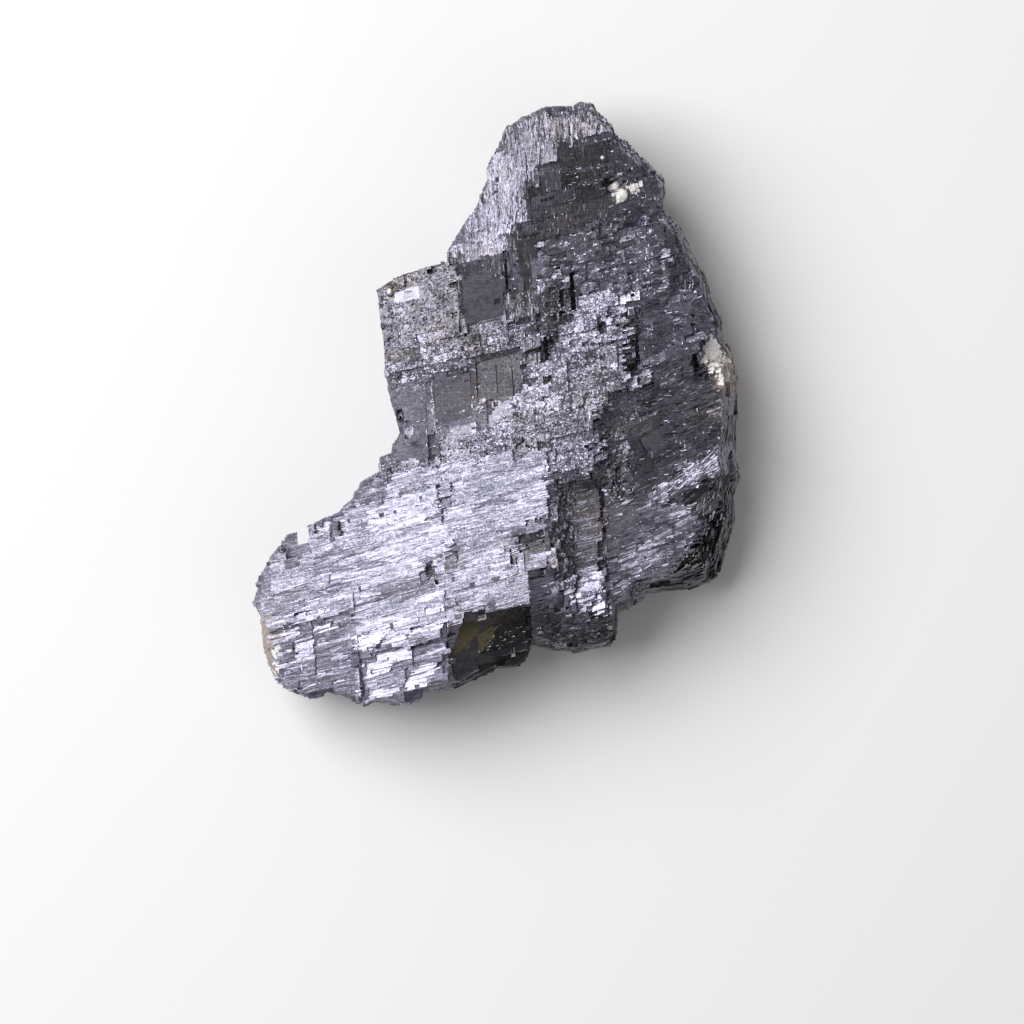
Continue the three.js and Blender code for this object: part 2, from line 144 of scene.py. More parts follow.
class Side:
    """One side of the lump, seen square on. Across is a and b, out of the lump is c: each is u, v or up,
    or the same turned about. surface holds how far out the lump comes at each spot, and its slopes."""

    def __init__(self, axes, low, high, pitch, squarest, highest_rise):
        self.order = [abs(axis) - 1 for axis in axes]
        self.signs = np.sign(axes)
        self.low = np.array(low, float)
        self.pitch = pitch
        self.spots = tuple(np.ceil((np.array(high) - self.low) / pitch).astype(int))
        self.surface = np.full((3, *self.spots), np.nan)
        self.stacked = np.zeros(self.spots, int)  # how many plates lie over each spot
        self.shade = np.full(self.spots, 0.5)  # how bright the plate at each spot is among its neighbours
        # The next map holds the tarnish amount at each spot, which on the front's breaks is partly painted
        # light.
        self.dull_and_painted_light = np.full(self.spots, FLANK_TARNISH)  # how far tarnish has gone there
        self.grit = np.full(self.spots, FLANK_GRIT)  # how far its scales face off their plate
        self.plates = []  # for each, its level in the stack, the block it takes away and the one it leaves
        self.squarest = squarest
        self.highest_rise = highest_rise  # no plate stands further proud of the ledge it is laid on
        self.look()

    def look(self):
        """Takes the surface from the lump as it now is."""
        self.surface[:] = np.nan
        ledges = BVHTree.FromPolygons(
            self.seen(read(lump.data.vertices, "co")).tolist(),
            [tuple(face.vertices) for face in lump.data.polygons])
        for i in range(self.spots[0]):
            a = self.low[0] + self.pitch * (i + 0.5)
            for j in range(self.spots[1]):
                b = self.low[1] + self.pitch * (j + 0.5)
                hit, normal, _, _ = ledges.ray_cast((a, b, FAR_OUT), (0, 0, -1))
                if hit and normal.z > self.squarest:
                    self.surface[:, i, j] = hit.z, -normal.x / normal.z, -normal.y / normal.z
        height = self.seen_height()
        self.surface[:, height < LOWEST_PLATE] = np.nan
        self.ledges = self.surface[0].copy()  # the surface before any plate was laid

    def seen(self, places):
        """Places along u, v and up, turned to a, b and c."""
        return places[:, self.order] * self.signs

    def unseen(self, places):
        """Places along a, b and c, turned back to u, v and up."""
        turned = np.empty_like(places)
        turned[:, self.order] = places * self.signs
        return turned

    def seen_height(self):
        """The height above the table at each spot."""
        a, b = np.indices(self.spots)
        a, b = self.low[0] + self.pitch * (a + 0.5), self.low[1] + self.pitch * (b + 0.5)
        k = self.order.index(2)
        return (a, b, self.surface[0])[k] * self.signs[k]

    def spot(self, a, b):
        i = np.floor((a - self.low[0]) / self.pitch).astype(int)
        j = np.floor((b - self.low[1]) / self.pitch).astype(int)
        return np.clip(i, 0, self.spots[0] - 1), np.clip(j, 0, self.spots[1] - 1)

    def at(self, places):
        """How far out the surface comes at each place, and its slopes there."""
        return self.surface[(slice(None), *self.spot(*places.T))]

    def clear_reach(self, middles, alongs, most):
        """How far plates can run from their middles before their ledges end, each up to its own most."""
        height, *rise = self.at(middles)
        climb = (np.array(rise).T * alongs).sum(axis=1)
        reach = most.copy()
        running = np.ones(len(middles), bool)
        for run in np.arange(self.pitch, most.max() + self.pitch, self.pitch):
            heights = self.surface[0][self.spot(*(middles + run * alongs).T)]
            stopped = running & ~(np.abs(heights - height - run * climb) < LEDGE_EDGE)
            past = np.where(np.isnan(heights[stopped]), RIM_OVERSHOOT, OVERSHOOT)
            past = run - self.pitch + past * DRAW.uniform(0, 1, stopped.sum())
            reach[stopped] = np.minimum(most[stopped], past)
            running &= ~stopped
        return reach

    def lay_plate(self, middle, length, width, taper, turn, step, lean, tarnish_and_painted_light=None, across_edge=False):
        """Cuts and fills the lump to one small flat plate, no bigger than its ledge unless across_edge.
        lean is its slope along a and b, over that of the ledge."""
        height, *rise = self.at(middle)
        if np.isnan(height):
            return
        along, across = ways_at(turn)
        right, left, far, near = np.array([length, length, width, width]) / 2
        if not across_edge:
            right, left, far, near = self.clear_reach(
                np.tile(middle, (4, 1)), np.array([along, -along, across, -across]),
                np.array([right, left, far, near]))
        if right + left < THINNEST or far + near < THINNEST:
            return
        offsets = [(-left, -near), (right, -near * taper), (right, far * taper), (-left, far)]
        corners = np.array([middle + a * along + b * across for a, b in offsets])
        steepest = STEEPEST_PLATE if tarnish_and_painted_light is not None else STEEPEST_STAIR
        leaning = np.clip(rise, -steepest, steepest) + lean
        i_low, j_low = np.maximum(self.spot(*corners.min(axis=0)), 1) - np.array([1, 1])
        i_high, j_high = np.array(self.spot(*corners.max(axis=0))) + 2
        area = np.s_[i_low:i_high, j_low:j_high]
        columns, rows = np.indices(self.stacked[area].shape)
        offset = self.low + self.pitch * (np.stack([columns + i_low, rows + j_low], axis=-1) + 0.5) - middle
        a = offset @ along
        b = offset @ across
        narrowing = 1 + (taper - 1) * np.clip((a + left) / (right + left), 0, 1)

        def within(margin):
            return (
                (a > -left - margin) & (a < right + margin)
                & (b > -near * narrowing - margin) & (b < far * narrowing + margin))

        touched = within(self.pitch)
        covered = within(0) & np.isfinite(self.surface[0][area])
        past_rim = covered.sum() < within(0).sum() * (1 if across_edge else LEAST_ON_LEDGE)
        if not covered.any() or past_rim or self.stacked[area][touched].max() >= DEEPEST_STACK:
            return
        laid = height + offset[covered] @ leaning
        ledges = self.ledges[area][covered]
        if not across_edge:
            climb = laid + step - ledges
            if np.ptp(climb) > self.highest_rise + DEEPEST_SINK:
                return
            step -= max(0, climb.max() - self.highest_rise) + min(0, climb.min() + DEEPEST_SINK)
        step -= max(0, (laid + step).max() - ledges.max() - PROUDEST)
        level = self.stacked[area][touched].max() + 1
        self.stacked[area][touched] = level
        self.shade[area][covered] = DRAW.uniform(0, 1)
        if tarnish_and_painted_light is not None:
            self.dull_and_painted_light[area][covered] = tarnish_and_painted_light
        tops = height + step + (corners - middle) @ leaning
        over = np.full(4, max(np.nanmax(self.surface[0][area][touched]), tops.max()) + 1)
        root = max(DRAW.uniform(*PLATE_ROOT), across_edge * (tops.min() - ledges.min() + PLATE_ROOT[0]))
        under = np.full(4, tops.min() - root)
        under, top, over = [
            self.unseen(np.column_stack([corners, heights])) for heights in (under, tops, over)]
        self.plates.append((level, np.concatenate([top, over]), np.concatenate([under, top])))
        self.surface[0][area][covered] = laid + step
        self.surface[1][area][covered], self.surface[2][area][covered] = leaning

    def lay_stairs(self, count, drops):
        """Breaks the edges of the ledges into stairs, each a block of its own."""
        edges = []
        for axis in (0, 1):
            drop = np.diff(self.surface[0], axis=axis)
            at = np.argwhere((np.abs(drop) > drops[0]) & (np.abs(drop) < drops[1]))
            edges.append(np.column_stack([at, drop[tuple(at.T)]]))
        edges = np.concatenate(edges)
        for i, j, drop in edges[DRAW.choice(len(edges), count)]:
            middle = self.low + self.pitch * (np.array([i, j]) + 0.5)
            rise = max(drop, 0) - abs(drop) * DRAW.uniform(*STAIR_FALL)
            self.lay_plate(
                middle, *[DRAW.uniform(*size) for size in STAIR_SIZES],
                math.radians(DRAW.choice([0, 90]) + STAIR_SWAY * DRAW.normal()), rise,
                DRAW.normal(0, STAIR_LEAN, 2), across_edge=True)

    def lay_face(self, middle, length, width, turn, tarnish_and_painted_light):
        """Cuts and fills one broad face, level with what is there, if that is nearly flat already."""
        along, across = ways_at(turn)
        a, b = np.meshgrid(FACE_SPOTS * length, FACE_SPOTS * width)
        offset = a.reshape(-1, 1) * along + b.reshape(-1, 1) * across
        height = self.at(middle + offset)[0]
        there = np.isfinite(height)
        there[there] = np.abs(height[there] - np.median(height[there])) < DEEPEST_DIP
        sides = np.column_stack([np.ones(there.sum()), offset[there]])
        level = np.linalg.lstsq(sides, height[there], rcond=None)[0]
        if np.quantile(np.abs(sides @ level - height[there]), MOST_OF_FACE) < MOST_UNEVEN:
            self.surface[(slice(None), *self.spot(*middle))] = level
            self.lay_plate(middle, length, width, 1, turn, 0, np.zeros(2), tarnish_and_painted_light, across_edge=True)

    def lay_breaks(self, breaks, layer):
        """Covers each break with plates of its kind."""
        for k, (kind, tarnish_and_painted_light, _) in enumerate(breaks):
            length, width, (turn, sway), step, lean, facing, cover = BREAKS[kind][layer]
            for middle in middles_on(breaks, k, cover, length, width):
                turned = math.radians(turn + sway * DRAW.normal())
                along, across = ways_at(turned)
                slopes = facing + lean[0] * DRAW.normal() * along + lean[1] * DRAW.normal() * across
                slopes -= TURNED_BACK.get(kind, 0) * np.nan_to_num(
                    np.clip(self.at(middle)[1:], -STEEPEST_PLATE, STEEPEST_PLATE))
                self.lay_plate(
                    middle, DRAW.uniform(*length), DRAW.uniform(*width), DRAW.uniform(*PLATE_TAPER), turned,
                    step * DRAW.normal(), slopes,
                    np.clip(tarnish_and_painted_light + TARNISH_SPREAD * SPREAD.get(kind, 1) * DRAW.normal(), 0, BLACKEST_PAINTED_SHADE))

    def break_lump(self):
        """Cuts and fills the lump to its plates, from the lowest in the stacks up."""
        for level in range(1, self.stacked.max() + 1):
            join_or_cut("DIFFERENCE", [taken for at, taken, _ in self.plates if at == level])
            join_or_cut("UNION", [left for at, _, left in self.plates if at == level])


def inside(corners, a, b):
    """Which of the places lie within an outline."""
    within = np.zeros(len(a), bool)
    for (a_from, b_from), (a_to, b_to) in zip(corners, corners[1:] + corners[:1]):
        if b_from != b_to:
            level = (b_from > b) != (b_to > b)
            within ^= level & (a < a_from + (b - b_from) * (a_to - a_from) / (b_to - b_from))
    return within


def break_at(breaks, a, b):
    """Which break each place is on: the last listed that holds it. Each is judged a little way off, so
    that one break runs raggedly into the next."""
    a, b = a + RAGGED * DRAW.normal(0, 1, len(a)), b + RAGGED * DRAW.normal(0, 1, len(b))
    owner = np.zeros(len(a), int)
    for k, (_, _, corners) in enumerate(breaks):
        owner[inside(corners, a, b)] = k
    return owner


def middles_on(breaks, k, cover, length, width):
    """Middles for enough plates of such a size to cover one break, cover deep."""
    low, high = np.min(breaks[k][2], axis=0), np.max(breaks[k][2], axis=0)
    count = int(cover * np.prod(high - low) / (np.mean(length) * np.mean(width)))
    middles = DRAW.uniform(low, high, (count, 2))
    return middles[break_at(breaks, *middles.T) == k]


# How each kind of break is made up. For each layer: length, width, the turn from a and its sway in
# degrees, how far plates step, how they lean along and across, which way they all face (the slope
# along a and b), and how many lie on each spot.
FACING = 5  # where the way they face stands among these
LEVEL = (0, 0)
BREAKS = {
    "striated": [
        ((5, 16), (1.6, 4.6), (1, 2), 0.06, (0.015, 0.04), LEVEL, 0.8),
        ((2.5, 12), (0.4, 1.1), (2, 3), 0.05, (0.015, 0.07), LEVEL, 0.4)],
    "foot": [
        ((4, 14), (1.4, 4.4), (1, 2), 0.08, (0.015, 0.03), (0.11, -0.19), 0.9),
        ((2.5, 10), (0.4, 1.2), (2, 4), 0.06, (0.02, 0.05), (0.11, -0.19), 0.5)],
    "plated": [
        ((4, 10), (3.5, 9), (0, 1), 0.05, (0.01, 0.01), LEVEL, 0.7),
        ((0.8, 2.5), (0.4, 1.2), (0, 2), 0.06, (0.04, 0.04), LEVEL, 0.08)],
    "granular": [
        ((1.5, 5), (1.2, 4), (0, 4), 0.18, (0.05, 0.06), (0.04, 0), 0.85),
        ((0.6, 1.7), (0.5, 1.3), (0, 8), 0.13, (0.1, 0.12), LEVEL, 0.3)],
    "streaked": [
        ((4, 12), (0.8, 2.6), (88, 2), 0.15, (0.02, 0.08), LEVEL, 0.9),
        ((1.5, 6), (0.4, 1), (88, 3), 0.11, (0.04, 0.13), LEVEL, 0.35)],
    "stepped": [
        ((4, 10), (2, 5), (0, 1.5), 0.22, (0.02, 0.035), LEVEL, 1.0),
        ((2, 8), (0.35, 0.8), (0, 2), 0.12, (0.03, 0.12), LEVEL, 0.3)],
    "rubbly": [
        ((1.6, 7), (1, 3.6), (4, 5), 0.24, (0.08, 0.12), LEVEL, 1.0),
        ((0.9, 3.2), (0.45, 1.4), (4, 6), 0.16, (0.12, 0.15), LEVEL, 0.45)],
    "rippled": [
        ((2, 7), (0.8, 2), (9, 8), 0.22, (0.06, 0.14), LEVEL, 1.0),
        ((1.2, 4), (0.35, 0.9), (9, 10), 0.15, (0.1, 0.26), LEVEL, 0.6)],
    "folded": [
        ((3, 9), (0.8, 2.2), (25, 5), 0.1, (0.03, 0.05), (0.11, -0.09), 1.0),
        ((1.5, 5), (0.3, 0.8), (25, 7), 0.08, (0.04, 0.08), (0.11, -0.09), 0.5)],
    "bent": [
        ((3, 9), (0.7, 2.2), (7, 5), 0.18, (0.04, 0.15), (0.08, -0.06), 1.0),
        ((1.5, 6), (0.35, 0.9), (7, 7), 0.13, (0.05, 0.18), (0.08, -0.06), 0.5)],
    "facet": [
        ((4, 10), (2, 6), (20, 3), 0.05, (0.015, 0.025), (-0.05, 0.03), 0.7),
        ((1.5, 6), (0.3, 0.7), (20, 5), 0.05, (0.03, 0.06), (-0.05, 0.03), 0.15)],
    "sparkling": [
        ((1.4, 5), (0.8, 2.6), (0, 4), 0.14, (0.03, 0.04), (0.26, -0.19), 1.0),
        ((0.6, 2.6), (0.5, 1.3), (0, 6), 0.1, (0.04, 0.05), (0.26, -0.19), 0.5)],
    "rough": [
        ((0.9, 3), (0.7, 2), (10, 20), 0.3, (0.16, 0.18), (0.12, -0.08), 1.0),
        ((0.5, 1.6), (0.4, 1.1), (10, 30), 0.2, (0.2, 0.22), (0.12, -0.08), 0.5)],
    "flank": [
        ((3, 12), (2, 7), (0, 2), 0.2, (0.03, 0.03), LEVEL, 0.9),
        ((1.4, 5), (0.8, 3), (0, 3), 0.14, (0.03, 0.05), LEVEL, 0.25)],
}
# How far the scales of a kind face off their plates.
GRIT = {"striated": 0.13, "granular": 0.26, "rubbly": 0.2, "sparkling": 0.16, "rough": 0.22,
    "streaked": 0.18, "facet": 0.05}
SPREAD = {"flank": FLANK_SPREAD}  # how patchily a kind has tarnished, over the others
# How far the plates and grains of a kind turn back from the slope of the ledge to the level.
TURNED_BACK = {"sparkling": 1, "rough": 0.6, "folded": 0.75, "bent": 0.3}
# The breaks of the front: the kind of each, how far it has tarnished (partly painted light), and its
# corners along u and v.
# Where two lie over each other the later one shows.
# Each break's tarnish is set higher, as painted shade, on faces turned from the light and lower on those
# turned to it.
FRONT = [
    ("striated", 0.22, [(-66, -61), (-62, -6.5), (-26.5, -10), (-8.5, -10), (13, -10.5), (15.5, -19.5),
        (11.5, -78.5)]),
    ("foot", 0.0, [(-62, -36.5), (-45.5, -32.5), (-28.5, -40.5), (-13, -40.5), (-15, -72.5),
        (-64, -61.5)]),
    ("striated", 0.0, [(-27.5, -10), (-8.5, -10), (8.5, -9.5), (12.5, -19), (5, -28), (-14.5, -27),
        (-29.5, -22.5)]),
    ("rippled", 0.6, [(15.5, 27), (58.5, 17.5), (53.5, -58), (11.5, -78.5), (13, -10.5)]),
    ("granular", 0.5, [(-28.5, -10), (-26.5, 19.5), (-2.5, 14.5), (15.5, 27), (33, 27.5), (29.5, -23),
        (13, -11.5), (-8.5, -10)]),
    ("streaked", 0.48, [(-28, 26.5), (-2.5, 61), (9.5, 66), (18, 62), (10.5, 45.5), (10.5, 27.5),
        (-4, 28.5)]),
    ("streaked", 0.6, [(0, 50), (5.5, 67), (31, 61), (34.5, 46.5), (17.5, 50.5), (13.5, 44.5)]),
    ("stepped", 0.76, [(12.5, 49), (18, 51), (29, 49.5), (27, 29), (11.5, 32.5), (8, 38.5)]),
    ("rubbly", 0.5, [(27.5, 49), (32, 54.5), (46.5, 33), (45.5, 19.5), (27, 29)]),
    ("granular", 0.82, [(-27.5, 35), (-5.5, 31.5), (-6.5, 17), (-14.5, 19), (-23.5, 11.5), (-27.5, 20)]),
    ("plated", 0.6, [(-20.5, 29), (-15, 28.5), (-12, 24.5), (-20.5, 26)]),
    ("granular", 0.75, [(-14.5, 19), (-2, 17.5), (-2.5, 11.5), (-13.5, 14)]),
    ("granular", 0.45, [(-15.5, 15), (-4.5, 12.5), (-5, 8), (-25, 9), (-24.5, 14)]),
    ("plated", 0.5, [(-25, 9.5), (-13.5, 7.5), (-13, -10), (-24, -7.5)]),
    ("plated", 0.68, [(-13.5, 9), (-4.5, 8), (-5, -2.5), (-12, -6.5), (-13, -1.5)]),
    ("plated", 1.0, [(-4.5, 11.5), (1.5, 10.5), (6.5, 7), (5, 0), (-4, 1)]),
    ("plated", 0.45, [(-12, -0.5), (5, 0), (4, -2.5), (0.5, -5.5), (-7, -6), (-12, -6.5)]),
    ("plated", 0.8, [(-6, 28), (-4.5, 29.5), (3.5, 28.5), (3, 17.5), (2, 16.5), (-6.5, 18.5)]),
    ("plated", 0.6, [(-5, 34), (-1, 33), (-1, 30), (-5, 31)]),
    ("stepped", 0.95, [(5.5, 34.5), (11.5, 34), (10.5, 28), (6.5, 28)]),
    ("streaked", 0.85, [(3, 24), (11.5, 22), (11, 15), (2.5, 16.5)]),
    ("streaked", 0.9, [(6, 11.5), (12, 11.5), (11, 6.5), (6.5, 6)]),
    ("granular", 0.9, [(12.5, 26), (19, 26), (17.5, 14), (14, 6), (11, 6.5)]),
    ("rubbly", 0.5, [(11.5, 32.5), (33.5, 32.5), (32.5, 21), (19.5, 20), (12, 22.5)]),
    ("granular", 0.28, [(34, 36), (36.5, 27), (34.5, 14.5), (25.5, 10), (17, 1.5), (4.5, -8.5),
        (-7, -12.5), (0.5, -3.5), (14.5, 9.5), (21.5, 19.5), (31, 20.5)]),
    ("granular", 0.6, [(2, -3), (12.5, -4), (12, -12.5), (1.5, -11)]),
    ("rubbly", 0.2, [(26.5, 16.5), (34.5, 14.5), (33, -4.5), (25, -2.5)]),
    ("rubbly", 0.3, [(34.5, 14.5), (45.5, 15), (50, 0.5), (44.5, -0.5), (34.5, 2.5)]),
    ("rippled", 0.65, [(31, -0.5), (54, -3), (52.5, -20.5), (30, -14.5)]),
    ("facet", 0.9, [(29, -10), (35, -10), (35.5, -24), (31.5, -27.5), (28, -22.5)]),
    ("rough", 0.65, [(21.5, -10.5), (27, -10.5), (26.5, -27.5), (21.5, -26.5)]),
    ("folded", 0.25, [(28.5, -30), (30.5, -27.5), (35.5, -24), (43, -22), (53, -18.5), (52.5, -23.5),
        (42.5, -26), (36, -27.5), (32.5, -31)]),
    ("facet", 1.0, [(39.5, -27), (52, -26.5), (52, -33), (40, -32.5)]),
    ("bent", 0.4, [(22, -25), (31.5, -28.5), (39, -29.5), (41.5, -36.5), (39.5, -39.5), (31, -46.5),
        (27.5, -50.5), (20, -49)]),
    ("facet", 1.6, [(29.5, -48), (32.5, -44.5), (39, -39.5), (42.5, -37.5), (43, -32.5), (53, -33),
        (51, -57.5), (29.5, -57)]),
    ("granular", 0.22, [(9.8, -9.9), (21.6, -12.6), (20.6, -20.4), (13.7, -19.3), (9.1, -19.5)]),
    ("striated", 0.95, [(14, -19.5), (21, -20.5), (21.5, -24), (14, -24)]),
    ("striated", 0.82, [(14, -24), (21.5, -24), (21, -31), (14, -31)]),
    ("striated", 0.62, [(14, -31), (21, -31), (20.5, -40), (13.5, -39)]),
    ("streaked", 0.95, [(13.5, -18.5), (15.5, -18.5), (14.5, -36), (12.5, -36)]),
    ("sparkling", 0.0, [(12.5, -38.5), (21, -39.5), (20.5, -49), (12.5, -47.5)]),
    ("rough", 0.5, [(10.5, -19), (14.5, -19.5), (13.5, -42.5), (9, -41.5)]),
    ("plated", 0.97, [(-13, -41.5), (3.5, -43.5), (3.5, -64), (-14.5, -62)]),
    ("plated", 1.2, [(-5, -42.5), (3.5, -43.5), (3.5, -64), (-6, -63)]),
    ("rubbly", 0.85, [(5, -43.5), (13.5, -48), (23.5, -49.5), (22.5, -60.5), (3.5, -64)]),
    ("plated", 0.97, [(1.5, -28.5), (9, -28.5), (10.5, -32.5), (2.5, -34.5)]),
    ("foot", 0.15, [(-56, -31.5), (-46, -40), (-38, -41.5), (-39, -54.5), (-47, -55.5), (-57.5, -52.5)]),
    ("rippled", 0.8, [(43.5, 22), (55.5, 3.5), (49, 0.5), (45.5, 14)]),
]
# The broad flat faces: middle along u and v, length, width, turn in degrees and how far tarnished, partly
# as painted shade.
BROAD_FACES = [
    (-1.4, 23.1, 8.5, 10.6, 0, 0.6), (1.0, 5.3, 9.8, 8.5, 0, 1.05),
    (-9.4, 3.0, 8.1, 9.4, 0, 0.65), (-3.9, -2.5, 13.2, 4.3, 0, 0.5),
    (23.3, 47.2, 10.2, 4.7, 0, 0.9), (22.0, 42.6, 8.1, 3.0, 0, 0.9), (14.8, 44.4, 4.3, 6.0, 0, 0.9),
    (22.9, 35.8, 10.6, 4.7, 0, 0.88), (15.2, 35.4, 5.1, 3.8, 0, 0.85), (29.5, 43.3, 3.4, 5.5, 0, 0.65),
    (8.3, 31.0, 4.7, 4.7, 0, 0.95), (8.7, 8.5, 4.7, 5.5, 0, 0.88), (6.8, 19.4, 7.2, 5.5, 0, 0.85),
    (-17.7, 27.0, 5.5, 2.6, 0, 0.6), (-2.9, 32.0, 3.4, 2.6, 0, 0.55),
    (13.3, -52.3, 11.9, 4.7, 0, 0.88),
    (44.9, -28.9, 9.4, 3.4, 20, 0.85), (41.3, -42.6, 11.9, 8.5, 38, 1.6),
    (-28.9, -47.0, 19.1, 6.4, 2, 0.05), (-7.4, -20.9, 12.8, 5.5, 2, 0.0),
    (-2.3, -41.3, 10.6, 5.5, 3, 0.1), (-22.6, -19.6, 10.6, 4.3, 2, 0.1), (14.7, 12.5, 3.4, 8.5, 0, 0.9),
]
# Where something has chipped out: middle along u and v, length, width, turn in degrees and depth.
CHIPPED = [
    (23.7, 10.4, 1.7, 2.3, 0, 0.8), (23.2, 7.1, 1.3, 1.1, 0, 0.6), (19.8, 8.1, 1.5, 0.9, 0, 0.5),
    (20.7, 5.6, 2.3, 1.7, 0, 0.5), (17.0, 8.7, 1.3, 1.5, 0, 0.5), (23.2, 4.4, 1.3, 0.9, 0, 0.5),
    (23.3, 2.0, 1.3, 0.9, 0, 0.5), (11.1, 2.4, 1.9, 1.7, 0, 0.6), (20.9, -6.8, 1.7, 0.9, 0, 0.5),
    (19.7, -2.5, 1.7, 0.6, 0, 0.4), (17.8, -4.9, 1.5, 0.6, 0, 0.4), (21.8, -9.4, 1.9, 0.6, 0, 0.5),
    (22.5, -12.7, 2.1, 0.6, 0, 0.5), (20.9, -15.6, 1.9, 0.6, 0, 0.5), (29.3, 9.8, 2.8, 0.7, 0, 0.9),
    (29.2, 8.5, 2.8, 0.7, 0, 0.9), (29.1, 7.2, 2.8, 0.7, 0, 0.9), (29.0, 5.9, 2.8, 0.7, 0, 0.9),
    (28.9, 4.6, 2.8, 0.7, 0, 0.9), (28.8, 3.3, 2.8, 0.7, 0, 0.9), (28.7, 2.0, 2.8, 0.7, 0, 0.9),
    (28.7, 0.7, 2.8, 0.7, 0, 0.9), (32.5, 8.9, 1.9, 5.5, 0, 1.2), (31.9, 2.6, 1.7, 5.5, 0, 1.1),
    (3.9, 26.4, 0.6, 6.4, 0, 1.5), (17.8, 19.7, 1.1, 8.1, 0, 1.0), (0.4, 5.0, 0.3, 6.0, 0, 0.7),
    (3.8, 3.8, 0.4, 6.4, 0, 0.8), (11.3, 9.0, 0.9, 5.1, 0, 0.9), (-16.9, -32.0, 1.9, 3.0, 10, 1.2),
    (-15.7, -33.4, 0.9, 3.4, 15, 1.4), (-12.8, -7.4, 0.3, 4.7, 0, 0.8), (-13.8, -16.3, 0.3, 5.5, -6, 0.9),
    (-8.1, -15.0, 0.3, 2.6, 0, 0.6), (1.9, -34.8, 0.3, 3.4, 5, 0.7), (-14.1, -47.2, 0.3, 12.8, 0, 0.5),
    (27.1, 39.5, 1.1, 1.9, 0, 1.0), (13.8, 40.0, 3.0, 0.6, 2, 0.6), (-7.7, 20.3, 1.3, 1.3, 0, 0.5),
    (29.1, -30.2, 0.6, 0.6, 0, 0.8), (20.6, -32.6, 0.3, 12.8, -2, 1.0), (22.0, -19.0, 0.3, 8.5, -2, 0.8),
    (-20.7, 1.2, 0.5, 1.9, 10, 0.6), (-0.2, 12.2, 1.9, 0.4, 0, 0.5), (4.0, -29.9, 4.3, 0.4, 8, 0.4),
    (4.9, -31.8, 4.7, 0.4, 6, 0.4),
]
BLOCK_FACES = np.array([(0, 3, 2, 1), (4, 5, 6, 7), (0, 1, 5, 4), (1, 2, 6, 5), (2, 3, 7, 6), (3, 0, 4, 7)])


def join_or_cut(operation, blocks):
    """Takes a set of blocks that stand clear of each other from the lump, or adds them to it."""
    faces = BLOCK_FACES[None] + 8 * np.arange(len(blocks))[:, None, None]
    block_mesh = bpy.data.meshes.new("blocks")
    block_mesh.from_pydata(np.concatenate(blocks).tolist(), [], faces.reshape(-1, 4).tolist())
    tool = new_object("blocks", block_mesh)
    modifier = lump.modifiers.new("blocks", "BOOLEAN")
    modifier.object = tool
    modifier.operation = operation
    modifier.solver = "MANIFOLD"
    apply_modifiers(lump)
    bpy.data.objects.remove(tool)


def whole(side):
    """The one break that takes up the whole of a flank."""
    (a, b), (far_a, far_b) = side.low, side.low + side.pitch * np.array(side.spots)
    return [("flank", FLANK_TARNISH, [(a, b), (far_a, b), (far_a, far_b), (a, far_b)])]


U, V, UP = 1, 2, 3
(LEFT, RIGHT), (NEAR, FAR), HIGHEST = (-66, 66), (-74, 76), 42  # the lump lies within these
FLANK_LAYING = {"pitch": 0.25, "squarest": 0.5, "highest_rise": 0.3}
FRONT_LAYING = {"pitch": 0.2, "squarest": 0.45, "highest_rise": 0.8}
STAIRS = 380
STAIR_DROPS = (1.3, 7)
flanks = [
    Side((V, UP, U), (NEAR, 0), (FAR, HIGHEST), **FLANK_LAYING),
    Side((UP, V, -U), (0, NEAR), (HIGHEST, FAR), **FLANK_LAYING),
    Side((UP, U, V), (0, LEFT), (HIGHEST, RIGHT), **FLANK_LAYING),
    Side((U, UP, -V), (LEFT, 0), (RIGHT, HIGHEST), **FLANK_LAYING),
]
for flank in flanks:
    for layer in (0, 1):
        flank.lay_breaks(whole(flank), layer)
    flank.break_lump()
front = Side((U, V, UP), (LEFT, NEAR), (RIGHT, FAR), **FRONT_LAYING)
columns, rows = [index.ravel() for index in np.indices(front.spots)]
owners = break_at(FRONT, front.low[0] + front.pitch * columns, front.low[1] + front.pitch * rows)
front.dull_and_painted_light[columns, rows] = np.array([tarnish_and_painted_light for _, tarnish_and_painted_light, _ in FRONT])[owners]
front.grit[columns, rows] = np.array([GRIT.get(kind, FLANK_GRIT) for kind, _, _ in FRONT])[owners]
front.lay_stairs(STAIRS, STAIR_DROPS)
front.lay_breaks(FRONT, 0)
for u, v, length, width, turn, tarnish_and_painted_light in BROAD_FACES:
    front.lay_face(np.array([u, v]), length, width, math.radians(turn), tarnish_and_painted_light)
front.lay_breaks(FRONT, 1)
for u, v, length, width, turn, depth in CHIPPED:
    front.lay_plate(
        np.array([u, v]), length, width, 1, math.radians(turn), -depth, DRAW.normal(0, CHIP_LEAN, 2), 1,
        across_edge=True)
front.break_lump()


def drop_loose_bits(mesh):
    """Leaves only the largest connected body."""
    ends = np.empty(len(mesh.edges) * 2, np.int32)
    mesh.edges.foreach_get("vertices", ends)
    one, other = ends.reshape(-1, 2).T
    body = np.arange(len(mesh.vertices))
    while True:
        lowest = np.minimum(body[one], body[other])
        before = body.copy()
        np.minimum.at(body, one, lowest)
        np.minimum.at(body, other, lowest)
        body = body[body]
        if (body == before).all():
            break
    main = np.bincount(body).argmax()
    working = bmesh.new()
    working.from_mesh(mesh)
    working.verts.ensure_lookup_table()
    loose = [working.verts[k] for k in np.flatnonzero(body != main)]
    bmesh.ops.delete(working, geom=loose, context="VERTS")
    working.to_mesh(mesh)
    working.free()


drop_loose_bits(lump.data)
for side in (front, *flanks):
    side.look()
put(lump.data, from_cleavage(read(lump.data.vertices, "co")))

